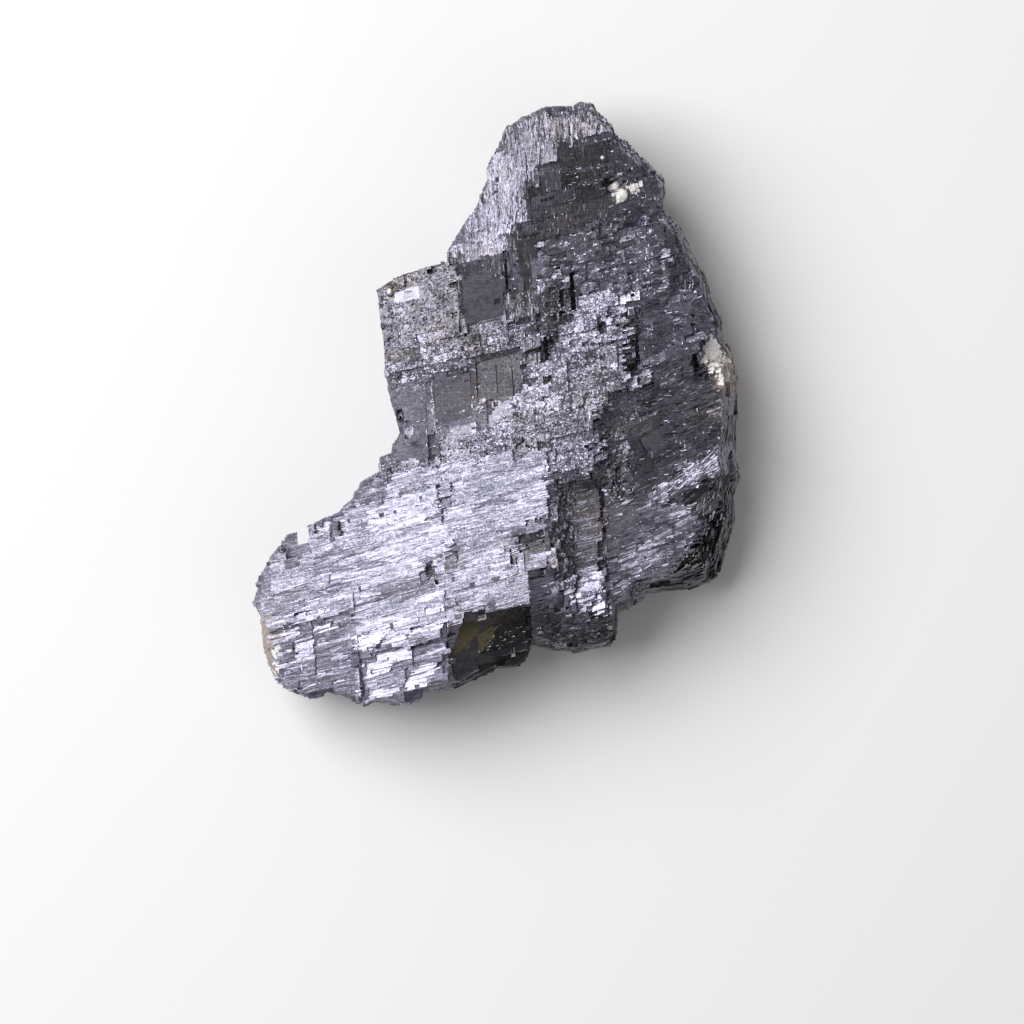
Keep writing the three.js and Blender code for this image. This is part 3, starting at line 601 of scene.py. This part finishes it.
# ---- The cleavage mass: its finish ----
# Galena is lead sulphide. Fresh, it is a bright lead grey with a lavender cast. In the air it tarnishes
# to a duller, warmer grey and at last to black.
# The tarnish amount also carries painted light: duller and up to black, as painted shade, on faces turned
# from the light, fresher on faces turned to it.
finish = bpy.data.materials.new("galena_cleavage")
finish.use_nodes = True
nodes = finish.node_tree.nodes
links = finish.node_tree.links
shader = nodes["Principled BSDF"]


def node(kind, settings=None, **inputs):
    """A new node of the finish. An input is given as a value or as the socket that feeds it, and is named
    or, as i0, i1 and so on, counted."""
    made = nodes.new("ShaderNode" + kind)
    for setting, value in (settings or {}).items():
        setattr(made, setting, value)
    for name, value in inputs.items():
        socket = made.inputs[int(name[1:]) if name[1:].isdigit() else name]
        if isinstance(value, bpy.types.NodeSocket):
            links.new(value, socket)
        else:
            socket.default_value = value
    return made


def of_plate(name):
    return node("Attribute", {"attribute_name": name}).outputs["Fac"]


def math_of(operation, a, b=0.0, c=0.0):
    return node("Math", {"operation": operation}, i0=a, i1=b, i2=c).outputs[0]


def noise(across, scale, detail, roughness=0.6):
    return node("TexNoise", Vector=across, Scale=scale, Detail=detail, Roughness=roughness).outputs["Fac"]


def mix(amount, one, other):
    return node("Mix", {"data_type": "RGBA"}, i0=amount, i6=one, i7=other).outputs[2]


def rising(amount, low, high):
    """Goes from 0 to 1 while an amount goes from low to high."""
    return node("MapRange", {"clamp": True}, i0=amount, i1=low, i2=high).outputs[0]


def ramp(amount, stops):
    """A colour that follows an amount from stop to stop."""
    made = node("ValToRGB", Fac=amount)
    for at, _ in stops[1:-1]:
        made.color_ramp.elements.new(at)
    for stop, (at, colour_there) in zip(made.color_ramp.elements, stops):
        stop.position = at
        stop.color = (*colour_there, 1)
    return made.outputs["Color"]


place = node("TexCoord").outputs["Object"]
tone = of_plate("tone")
tarnish_and_painted_light = of_plate("tarnish_and_painted_light")
fine = noise(place, 3200, 2)
clouds = noise(place, 140, 5, 0.65)
STRIATIONS = (170, 2300, 600)  # to the metre; the finest of them run along u
turned_to_u = node("Mapping", i0=place, i2=(0, 0, -U_RISE), i3=STRIATIONS).outputs[0]
striations = noise(turned_to_u, 1, 3)
mottled = noise(place, 900, 3)
bright = 0.0
for pattern, share in ((mottled, 0.33), (clouds, 0.2), (striations, 0.27), (fine, 0.33), (tone, 0.27)):
    bright = math_of("MULTIPLY_ADD", pattern, share, bright)
DARKEST, BRIGHTEST = 0.45, 0.95
fresh = ramp(bright, ((DARKEST, (0.118, 0.125, 0.172)), (BRIGHTEST, (0.572, 0.545, 0.69))))
# The tarnish drifts from cool to warm over a centimetre or so. Past full tarnish the colour goes to black,
# as painted shade.
cool = ramp(bright, ((DARKEST, (0.019, 0.02, 0.024)), (BRIGHTEST, (0.193, 0.193, 0.222))))
warm = ramp(bright, ((DARKEST, (0.022, 0.02, 0.018)), (BRIGHTEST, (0.215, 0.193, 0.182))))
drift = noise(place, 70, 3)
# The dull colour is mixed in by the tarnish amount, partly real tarnish and partly painted light.
dulled_and_painted_light = mix(tarnish_and_painted_light, fresh, mix(rising(drift, 0.42, 0.62), cool, warm))
# The black past full tarnish is painted shade on the faces turned furthest from the light.
painted_black_shade = math_of("MAXIMUM", math_of("SUBTRACT", tarnish_and_painted_light, 1.0), 0.0)
PAINTED_SHADE_BLACK = (0.008, 0.008, 0.009, 1)
metal = mix(math_of("MULTIPLY", painted_black_shade, 1.6), dulled_and_painted_light, PAINTED_SHADE_BLACK)

# Clay and limonite stain it olive and rust brown, and leave a tan crust where they are thick.
STAIN_HUES = {"olive": 0, "rust": 0.5, "tan": 1}
STAIN_COLOURS = ((0.0, (0.1, 0.08, 0.026)), (0.5, (0.085, 0.055, 0.033)), (1.0, (0.5, 0.42, 0.35)))
patchy = noise(place, 700, 4, 0.7)
stained = rising(math_of("ADD", of_plate("stain"), patchy), 0.86, 1.26)
links.new(mix(stained, metal, ramp(of_plate("stain_hue"), STAIN_COLOURS)), shader.inputs["Base Color"])
links.new(math_of("SUBTRACT", 1.0, stained), shader.inputs["Metallic"])
SMOOTHEST = 0.24
rougher = math_of("MULTIPLY_ADD", fine, 0.3, math_of("MULTIPLY_ADD", stained, 0.3, SMOOTHEST))
links.new(rougher, shader.inputs["Roughness"])

# Each scale of the surface faces its own way, a few degrees off its plate.
scales = node("TexVoronoi", {"feature": "F1"}, Vector=place, Scale=3600.0).outputs["Color"]
off_plate = node("VectorMath", {"operation": "SUBTRACT"}, i0=scales, i1=(0.5, 0.5, 0.5)).outputs[0]
scattered = node("VectorMath", {"operation": "SCALE"}, i0=off_plate, i3=of_plate("grit")).outputs[0]
plate_normal = node("NewGeometry").outputs["Normal"]
facing = node("VectorMath", {"operation": "ADD"}, i0=scattered, i1=plate_normal).outputs[0]
links.new(node("VectorMath", {"operation": "NORMALIZE"}, i0=facing).outputs[0], shader.inputs["Normal"])

# What has stained the breaks: the stain, how much of it, and its corners along u and v.
STAINS = [
    ("olive", 0.66, [(-12.5, -43.5), (-8.5, -43.5), (-8.5, -45), (-5, -45), (-5, -49), (-8, -49),
        (-8, -50.5), (-13, -49.5)]),
    ("olive", 0.35, [(21.5, -10.5), (27, -10.5), (26.5, -27.5), (21.5, -26.5)]),
    ("olive", 0.5, [(-22.5, 16), (-19, 15.5), (-19.5, 13), (-23, 13.5)]),
    ("olive", 0.5, [(-19, 15.5), (-16.5, 15), (-16.5, 12.5), (-19, 13)]),
    ("olive", 0.35, [(10.5, -20.5), (14, -21), (13.5, -42.5), (9, -41.5)]),
    ("rust", 0.5, [(-12.5, -28.5), (-9, -29.5), (-9.5, -33), (-13, -32.5)]),
    ("rust", 0.5, [(-5, 7), (-3.5, 6.5), (-3, 0.5), (-4.5, 1)]),
    ("rust", 0.5, [(-3, 1), (1, 0.5), (1, -1.5), (-3, -1)]),
    ("rust", 0.25, [(-14.5, 19), (-2, 17.5), (-2.5, 11.5), (-13.5, 14)]),
    ("rust", 0.35, [(8.5, 43), (12, 43), (11.5, 34.5), (8, 35)]),
    ("rust", 0.3, [(3, 24), (11.5, 22), (11, 15), (2.5, 16.5)]),
    ("tan", 0.6, [(-56, -31.5), (-52.5, -32.5), (-50, -41), (-49, -52), (-57.5, -50)]),
    ("tan", 0.6, [(46, 0.5), (52, -0.5), (51.5, -8.5), (47, -8)]),
    ("tan", 0.35, [(30.5, 39), (35.5, 38), (35, 35), (30.5, 36)]),
    ("olive", 0.25, [(18.5, -53), (23, -53), (22.5, -58.5), (18.5, -57.5)]),
    ("rust", 0.12, [(-50.5, -39), (-38, -41.5), (-39, -52), (-51.5, -49.5)]),
]


def stain_at(u, v):
    """How much stain is at each place, and its hue."""
    amount, hue = np.zeros(len(u)), np.zeros(len(u))
    for stain, most, corners in STAINS:
        here = inside(corners, u, v)
        amount[here], hue[here] = most, STAIN_HUES[stain]
    return amount, hue


def store(mesh, name, values, domain="FACE"):
    layer = mesh.attributes.new(name, "FLOAT", domain)
    layer.data.foreach_set("value", values.astype(np.float32))


# Each face takes its tone, tarnish and stain from the plate it is on, of the front or of a flank; the
# tarnish carries painted light.
middles = to_cleavage(read(lump.data.polygons, "center"))
under = front.spot(*middles[:, :2].T)
tones, dulls_and_painted_light = front.shade[under], front.dull_and_painted_light[under]
outward = to_cleavage(read(lump.data.polygons, "normal"))
outward /= np.linalg.norm(outward, axis=1, keepdims=True)
buried = ~(front.surface[0][under] - middles[:, 2] < FLANK_STARTS)
on_flanks = np.zeros(len(middles), bool)
for flank in flanks:
    facing_out = flank.seen(outward)[:, 2] > flank.squarest
    here = buried & facing_out
    on_flank = flank.spot(*flank.seen(middles)[here, :2].T)
    tones[here] = flank.shade[on_flank]
    dulls_and_painted_light[here] = np.minimum(
        np.maximum(dulls_and_painted_light[here], 0.5 * (dulls_and_painted_light[here] + flank.dull_and_painted_light[on_flank])), FLANK_BLACKEST_PAINTED_SHADE)
    on_flanks |= here
stains, stain_hues = stain_at(*middles[:, :2].T)
stains[on_flanks & (stain_hues == STAIN_HUES["olive"])] *= FLANK_STAINED
LOOKS = ("tone", "tarnish_and_painted_light", "stain", "stain_hue", "grit")
for name, values in zip(LOOKS, (tones, dulls_and_painted_light, stains, stain_hues, front.grit[under])):
    store(lump.data, name, values)
lump.data.materials.clear()
lump.data.materials.append(finish)
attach(lump, "root")
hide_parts("galena")

# ---- The grains: the smallest cleavage blocks ----
# Every plate is itself a stair of smaller blocks, down to grains of a fifth of a millimetre. Each
# is galena, grown into the mass, and stands a hair proud of it with its own slight lean.

# For each kind: length, width, turn and sway, how proud, lean along and across, and cover.
GRAINS = {
    "striated": ((0.7, 5), (0.13, 0.34), (1.5, 3), (0.0, 0.05), (0.015, 0.06), 2.2),
    "foot": ((0.7, 5), (0.14, 0.36), (1.5, 4), (0.0, 0.06), (0.02, 0.07), 1.9),
    "plated": ((0.25, 0.8), (0.2, 0.5), (0, 8), (0.0, 0.05), (0.06, 0.06), 0.07),
    "granular": ((0.18, 0.6), (0.17, 0.45), (0, 15), (0.01, 0.13), (0.17, 0.17), 0.9),
    "streaked": ((0.4, 2.6), (0.14, 0.36), (88, 6), (0.01, 0.1), (0.06, 0.14), 1.8),
    "stepped": ((0.3, 1.8), (0.13, 0.28), (88, 5), (0.0, 0.05), (0.03, 0.09), 0.9),
    "rubbly": ((0.3, 1.6), (0.17, 0.5), (4, 12), (0.02, 0.14), (0.12, 0.16), 1.3),
    "rippled": ((0.4, 2.4), (0.14, 0.36), (9, 12), (0.02, 0.12), (0.08, 0.22), 1.6),
    "folded": ((0.6, 3.5), (0.13, 0.28), (25, 7), (0.01, 0.06), (0.03, 0.08), 2),
    "bent": ((0.7, 4), (0.14, 0.34), (7, 6), (0.01, 0.08), (0.03, 0.1), 2),
    "facet": ((0.4, 3), (0.13, 0.25), (20, 5), (0.0, 0.05), (0.04, 0.1), 0.08),
    "sparkling": ((0.25, 1.6), (0.2, 0.55), (0, 8), (0.02, 0.1), (0.06, 0.06), 1.0),
    "rough": ((0.25, 1), (0.2, 0.6), (10, 30), (0.03, 0.25), (0.2, 0.2), 1.2),
    "hairline": ((1.2, 6), (0.125, 0.17), (2, 4), (0.03, 0.07), (0.02, 0.03), 0.13),
    "flank": ((0.4, 2.4), (0.3, 1.3), (0, 4), (0.02, 0.12), (0.05, 0.05), 0.6),
}
GRAIN_DEPTH = (0.6, 1.2)
SMALLEST_GRAIN = 0.12
STEEPEST_GRAIN = 0.35
OF_ITS_PLATE = 0.6  # how much of a grain's tone comes from the plate that it stands on
GRAIN_TARNISH_SPREAD = 0.16
# What is kept of a grain, column by column.
PLACE, SIZE, TURNING, TONE, TARNISH_AND_PAINTED_LIGHT, LOOK = slice(0, 3), slice(3, 6), slice(6, 9), 9, 10, slice(9, 14)


def unit(vectors):
    return vectors / np.maximum(np.linalg.norm(vectors, axis=1, keepdims=True), 1e-12)


def gentle(rises):
    """Slopes that a grain can follow."""
    return np.clip(rises, -STEEPEST_GRAIN, STEEPEST_GRAIN)


def grains_at(side, middle, turns, lengths, widths, proud, slopes):
    """Place, size, turning and looks of grains at such middles of a side. Their slopes along a and b come
    on top of the surface's own."""
    kept = np.isfinite(side.at(middle)[0])
    middle, turns, lengths, widths, slopes = [
        values[kept] for values in (middle, turns, lengths, widths, slopes)]
    count = len(middle)
    along = np.column_stack([np.cos(turns), np.sin(turns)])
    across = np.column_stack([-along[:, 1], along[:, 0]])
    right, left = [side.clear_reach(middle, way * along, lengths / 2) for way in (1, -1)]
    far, near = [side.clear_reach(middle, way * across, widths / 2) for way in (1, -1)]
    height, *rise = side.at(middle)
    rise = np.array(rise).T
    shift = (right - left)[:, None] / 2 * along + (far - near)[:, None] / 2 * across
    leaning = gentle(rise) + slopes
    depths = DRAW.uniform(*GRAIN_DEPTH, count)
    outward = height + (shift * rise).sum(axis=1) + DRAW.uniform(*proud, count) - depths / 2
    place = side.unseen(np.column_stack([middle + shift, outward]))
    # the grain's own axes: along the plate, across it and out of it
    first = unit(from_cleavage(side.unseen(np.column_stack([along, (along * leaning).sum(axis=1)]))))
    second = from_cleavage(side.unseen(np.column_stack([across, (across * leaning).sum(axis=1)])))
    third = unit(np.cross(first, second))
    second = np.cross(third, first)
    turning = np.column_stack([
        np.arctan2(second[:, 2], third[:, 2]), np.arcsin(np.clip(-first[:, 2], -1, 1)),
        np.arctan2(first[:, 1], first[:, 0])])
    size = np.column_stack([right + left, far + near, depths])
    under = front.spot(*place[:, :2].T)
    on_side = side.spot(*(middle + shift).T)
    tones = OF_ITS_PLATE * side.shade[on_side] + (1 - OF_ITS_PLATE) * DRAW.uniform(0, 1, count)
    dulls_and_painted_light = np.maximum(front.dull_and_painted_light[under], 0.5 * (front.dull_and_painted_light[under] + side.dull_and_painted_light[on_side]))
    stains, stain_hues = stain_at(*place[:, :2].T)
    if side is not front:
        dulls_and_painted_light = np.minimum(dulls_and_painted_light, FLANK_BLACKEST_PAINTED_SHADE)
        stains[stain_hues == STAIN_HUES["olive"]] *= FLANK_STAINED
    dulls_and_painted_light = np.clip(dulls_and_painted_light + GRAIN_TARNISH_SPREAD * DRAW.normal(0, 1, count), 0, BLACKEST_PAINTED_SHADE)
    keep = (size.min(axis=1) > SMALLEST_GRAIN) & (place[:, 2] > LOWEST_PLATE)
    return np.column_stack([
        from_cleavage(place), size * MM, turning, tones, dulls_and_painted_light, stains, stain_hues,
        front.grit[under]])[keep]


def grain_spots(side, breaks, kinds, grain=None):
    """The grains on the breaks of such kinds on a side, of the kind's own grain unless another is named."""
    found = []
    for k, (kind, _, _) in enumerate(breaks):
        if kind not in kinds:
            continue
        kind = grain or kind
        length, width, (turn, sway), proud, lean, cover = GRAINS[kind]
        middle = middles_on(breaks, k, cover, length, width)
        count = len(middle)
        turns = np.radians(turn + sway * DRAW.normal(0, 1, count))
        along = np.column_stack([np.cos(turns), np.sin(turns)])
        across = np.column_stack([-along[:, 1], along[:, 0]])
        slopes = DRAW.normal(0, lean[0], (count, 1)) * along + DRAW.normal(0, lean[1], (count, 1)) * across
        if kind in TURNED_BACK:
            slopes += BREAKS[kind][1][FACING] - TURNED_BACK[kind] * gentle(side.at(middle)[1:].T)
        found.append(grains_at(
            side, middle, turns, DRAW.uniform(*length, count), DRAW.uniform(*width, count), proud, slopes))
    return np.concatenate(found)


def grain_tree(name):
    """Sets a block on every point, with its size and turning taken from the point."""
    tree = bpy.data.node_groups.new(name, "GeometryNodeTree")
    tree.interface.new_socket("Geometry", in_out="INPUT", socket_type="NodeSocketGeometry")
    tree.interface.new_socket("Finish", in_out="INPUT", socket_type="NodeSocketMaterial")
    tree.interface.new_socket("Geometry", in_out="OUTPUT", socket_type="NodeSocketGeometry")
    made = {}
    for key, kind in {
        "in": "NodeGroupInput", "block": "GeometryNodeMeshCube", "size": "GeometryNodeInputNamedAttribute",
        "turning": "GeometryNodeInputNamedAttribute", "set": "GeometryNodeInstanceOnPoints",
        "real": "GeometryNodeRealizeInstances", "finish": "GeometryNodeSetMaterial",
        "turn": "FunctionNodeEulerToRotation", "out": "NodeGroupOutput",
    }.items():
        made[key] = tree.nodes.new(kind)
    for key in ("size", "turning"):
        made[key].data_type = "FLOAT_VECTOR"
        made[key].inputs["Name"].default_value = key
    for one, output, other, socket in (
            ("in", "Geometry", "set", "Points"), ("block", "Mesh", "set", "Instance"),
            ("size", "Attribute", "set", "Scale"), ("turning", "Attribute", "turn", 0),
            ("turn", 0, "set", "Rotation"), ("set", "Instances", "real", "Geometry"),
            ("real", "Geometry", "finish", "Geometry"), ("in", "Finish", "finish", "Material"),
            ("finish", "Geometry", "out", "Geometry")):
        tree.links.new(made[one].outputs[output], made[other].inputs[socket])
    return tree


def grow_grains(name, spots, finish=finish):
    """Makes one piece of such grains."""
    points = bpy.data.meshes.new(name)
    points.from_pydata(spots[:, PLACE].tolist(), [], [])
    for key, values in (("size", spots[:, SIZE]), ("turning", spots[:, TURNING])):
        layer = points.attributes.new(key, "FLOAT_VECTOR", "POINT")
        layer.data.foreach_set("vector", values.astype(np.float32).ravel())
    for key, values in zip(LOOKS, spots[:, LOOK].T):
        store(points, key, values, "POINT")
    grains = new_object(name, points)
    modifier = grains.modifiers.new("grains", "NODES")
    modifier.node_group = grain_tree(name)
    for item in modifier.node_group.interface.items_tree:
        if item.name == "Finish":
            modifier[item.identifier] = finish
    apply_modifiers(grains)
    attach(grains, "root")


grow_grains("cleavage_splinters", grain_spots(front, FRONT, ("striated", "foot", "plated")))
grow_grains("cleavage_streaks", grain_spots(
    front, FRONT, ("streaked", "stepped", "rippled", "folded", "bent", "facet")))
grow_grains("cleavage_grains", grain_spots(front, FRONT, ("granular", "sparkling")))
grow_grains("cleavage_rubble", grain_spots(front, FRONT, ("rubbly", "rough")))
grow_grains("flank_blocks", np.concatenate([
    grain_spots(flank, whole(flank), ("flank",)) for flank in flanks]))

# ---- The rubbed edges: slivers along the edges of the ledges ----
# The edges of the ledges are knocked and rubbed. They break into fresh slivers of galena, a fifth of a
# millimetre wide, which lean to the upper left, where they catch the light.

# The longest of them, from corner to corner along u and v.
RUBBED_LINES = [
    [(-41.5, -11), (-44, -44.5)], [(13.5, -1), (12.5, -16.5)], [(19.5, -6.5), (19, -15)],
    [(-6, 28), (-6.5, 18.5)], [(18, 51), (28.5, 49.5)], [(13, 47.5), (17.5, 48)],
    [(17.5, 45.5), (25.5, 44)], [(17, 42.5), (26, 40.5)], [(19.5, 33.5), (25.5, 33)],
    [(-9, -0.5), (-4.5, 0), (1, 0.5), (5, 0.5)], [(-11, -7), (-7, -5.5), (0.5, -5), (4, -2)],
    [(-13.5, 7.5), (-13.5, -4.5)], [(34.5, 34.5), (34, 16.5)], [(20.5, -18.5), (20.5, -39.5)],
    [(24.5, 15.5), (23, -4.5)], [(30, -30), (35.5, -26), (40.5, -24), (49, -21)],
    [(28.5, -47.5), (32, -44.5), (39, -39.5), (42.5, -37.5), (43, -32.5)],
    [(-26.5, -10), (-13, -10), (-8.5, -10)], [(-22, 33.5), (-23, 10.5)], [(13.5, -30), (21, -30)],
    [(5.5, 23), (5, 16.5)], [(7.5, 22.5), (7, 16)], [(-4.5, 8), (-4, 1)],
]
RUBBED_SLOPE, SLOPE_SPREAD = np.array([0.2, -0.1]), 0.1
RUBBED_STEPS, RUBBED_PLACES = (0.07, 1.5), 1800
SLIVER_SPACING, SLIVER_STRAY, SLIVER_SWAY = 0.7, 0.13, 0.05
SLIVER_LENGTH, SLIVER_WIDTH, SLIVER_PROUD = (0.25, 1.4), (0.13, 0.19), (0.01, 0.05)
SLIVER_TONE, SLIVER_TARNISH = (0.3, 1), 0.9  # the tarnish as a share of its plate's


def rubbed_places():
    """Middles and turns of slivers: along the long edges, and on the upper side of other steps."""
    middles, turns = [], []
    for corners in RUBBED_LINES:
        for start, end in zip(np.array(corners[:-1], float), np.array(corners[1:], float)):
            run = end - start
            count = int(np.hypot(*run) / SLIVER_SPACING)
            middles.append(
                start + DRAW.uniform(0, 1, (count, 1)) * run + DRAW.normal(0, SLIVER_STRAY, (count, 2)))
            turns.append(np.full(count, math.atan2(run[1], run[0])))
    for axis in (0, 1):
        drop = np.diff(front.surface[0], axis=axis)
        at = np.argwhere((np.abs(drop) > RUBBED_STEPS[0]) & (np.abs(drop) < RUBBED_STEPS[1]))
        at = at[DRAW.choice(len(at), RUBBED_PLACES // 2)]
        upper = at.astype(float)
        upper[:, axis] += drop[tuple(at.T)] > 0
        middles.append(front.low + front.pitch * (upper + 0.5))
        turns.append(np.full(len(at), math.pi / 2 * (1 - axis)))
    turns = np.concatenate(turns)
    return np.concatenate(middles), turns + DRAW.normal(0, SLIVER_SWAY, len(turns))


edge_middles, edge_turns = rubbed_places()
rises = front.at(edge_middles)[1:].T
rubbed = grains_at(
    front, edge_middles, edge_turns, DRAW.uniform(*SLIVER_LENGTH, len(edge_turns)),
    DRAW.uniform(*SLIVER_WIDTH, len(edge_turns)), SLIVER_PROUD,
    RUBBED_SLOPE + DRAW.normal(0, SLOPE_SPREAD, rises.shape) - gentle(rises))
rubbed[:, TONE] = DRAW.uniform(*SLIVER_TONE, len(rubbed))
rubbed[:, TARNISH_AND_PAINTED_LIGHT] *= SLIVER_TARNISH
# Thin fresh lines stand on the striated faces as well.
hairlines = grain_spots(front, FRONT, ("striated", "foot", "bent", "folded"), "hairline")
hairlines[:, TONE], hairlines[:, TARNISH_AND_PAINTED_LIGHT] = 1, 0
grow_grains("rubbed_edges", np.concatenate([rubbed, hairlines]))

# ---- The calcite: white grains and a cream crust ----
# A few grains of white calcite are caught in the galena, and a crust of small cream grains sits on its
# right edge. They are softer than it and have gone dull and rounded.
calcite = bpy.data.materials.new("calcite")
calcite.use_nodes = True
nodes = calcite.node_tree.nodes
links = calcite.node_tree.links
shader = nodes["Principled BSDF"]
place = node("TexCoord").outputs["Object"]
grainy = noise(place, 1500, 4, 0.7)
creams = ramp(grainy, ((0.2, (0.72, 0.65, 0.58)), (0.48, (1, 0.99, 0.97))))
links.new(creams, shader.inputs["Base Color"])
links.new(math_of("MULTIPLY_ADD", grainy, 0.4, 0.3), shader.inputs["Roughness"])
shader.inputs["Subsurface Weight"].default_value = 0.15
shader.inputs["Subsurface Radius"].default_value = (0.001, 0.001, 0.001)

# Each grain: middle along u and v, how far it reaches along u, v and up. Flats cut it to a blocky shape.
FLATS, FLAT_OUT = 12, (0.5, 0.9)
CALCITE_GRAINS = [
    ((28.1, 39.6), (1.4, 1.3, 1.9)), ((28.9, 37.2), (2.2, 1.9, 2.3)), ((26.2, 46), (0.5, 0.5, 0.6)),
    ((27.9, 37.9), (0.5, 0.5, 0.4)), ((-21.4, 28.4), (0.6, 0.9, 0.4)), ((-21.9, 27.4), (0.5, 0.6, 0.3)),
]
grain_mesh = bmesh.new()
for (u, v), reach in CALCITE_GRAINS:
    i, j = front.spot(np.array([u]), np.array([v]))
    level_here = float(front.surface[0][i, j][0])
    made = bmesh.ops.create_icosphere(grain_mesh, subdivisions=3, radius=1)["verts"]
    flats = DRAW.uniform(*FLAT_OUT, FLATS)
    ways = unit(DRAW.normal(0, 1, (FLATS, 3)))
    for vertex in made:
        out = np.array(vertex.co)
        cut = min(flat / max(out @ way, 1e-6) for flat, way in zip(flats, ways))
        out = out * min(1, cut) * reach
        vertex.co = from_cleavage(np.array([[u + out[0], v + out[1], level_here + out[2]]]))[0]
calcite_mesh = bpy.data.meshes.new("calcite_grains")
grain_mesh.to_mesh(calcite_mesh)
grain_mesh.free()
calcite_mesh.materials.append(calcite)
calcite_grains = new_object("calcite_grains", calcite_mesh)
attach(calcite_grains, "root")

# How many crust grains lie in each patch: count, middle along u and v, and reach of the patch.
CRUST = [
    (330, (46.9, -0.4), (1.3, 2.4)), (130, (49.2, -3.8), (0.9, 1.9)), (26, (32.2, 38.4), (1.4, 0.7)),
    (90, (-51.5, -48), (0.8, 5)), (50, (-48.5, -53), (1, 2)),
]
CRUST_LENGTH, CRUST_WIDTH, CRUST_PROUD, CRUST_SLOPE = (0.4, 1.5), (0.35, 1.1), (0.05, 0.4), 0.25
crust_middles = np.concatenate([
    middle + 0.6 * DRAW.normal(0, 1, (count, 2)) * reach for count, middle, reach in CRUST])
count = len(crust_middles)
grow_grains("calcite_crust", grains_at(
    front, crust_middles, DRAW.uniform(0, math.pi, count), DRAW.uniform(*CRUST_LENGTH, count),
    DRAW.uniform(*CRUST_WIDTH, count), CRUST_PROUD, DRAW.normal(0, CRUST_SLOPE, (count, 2))), calcite)

# ---- The table, the light and the camera ----
# The stone lies on a plain pale table. A large soft light hangs to the upper left of it and a weak one to
# the lower right, and the camera looks straight down from above.
table = bpy.data.meshes.new("table")
table.from_pydata([(-3, -3, 0), (3, -3, 0), (3, 3, 0), (-3, 3, 0)], [], [(0, 1, 2, 3)])
table_top = new_object("table", table)
table_finish = bpy.data.materials.new("pale_table")
table_finish.use_nodes = True
table_shader = table_finish.node_tree.nodes["Principled BSDF"]
table_shader.inputs["Base Color"].default_value = (0.95, 0.95, 0.95, 1)
table_shader.inputs["Roughness"].default_value = 0.9
table.materials.append(table_finish)

world = bpy.data.worlds.new("studio")
world.use_nodes = True
world.node_tree.nodes["Background"].inputs["Color"].default_value = (1, 0.97, 0.98, 1)
world.node_tree.nodes["Background"].inputs["Strength"].default_value = 0.22
bpy.context.scene.world = world


def softbox(name, place, size, power):
    """A square soft light that faces the stone."""
    lamp = bpy.data.lights.new(name, "AREA")
    lamp.size = size
    lamp.energy = power
    holder = bpy.data.objects.new(name, lamp)
    holder.location = place
    holder.rotation_euler = (Vector(STONE) - Vector(place)).to_track_quat("-Z", "Y").to_euler()
    bpy.context.scene.collection.objects.link(holder)


STONE = (0, 0, 0.03)
softbox("key", place=(-0.62, 0.34, 0.9), size=0.95, power=15)
softbox("fill", place=(0.7, -0.4, 1.1), size=0.9, power=0.7)

PICTURE = 1024  # pixels each way
PIXELS_PER_METRE = 4700  # at the height of the stone's middle
MIDDLE_HEIGHT = 0.020
VIEW_DISTANCE = 1.8
PICTURE_CENTRE = (0.0032, -0.0230)  # what lies at the middle of the picture
camera_data = bpy.data.cameras.new("camera")
camera_data.sensor_width = 36
camera_data.lens = camera_data.sensor_width * VIEW_DISTANCE / (PICTURE / PIXELS_PER_METRE)
camera = bpy.data.objects.new("camera", camera_data)
camera.location = (*PICTURE_CENTRE, MIDDLE_HEIGHT + VIEW_DISTANCE)
bpy.context.scene.collection.objects.link(camera)
bpy.context.scene.camera = camera
bpy.context.scene.view_settings.view_transform = "Standard"
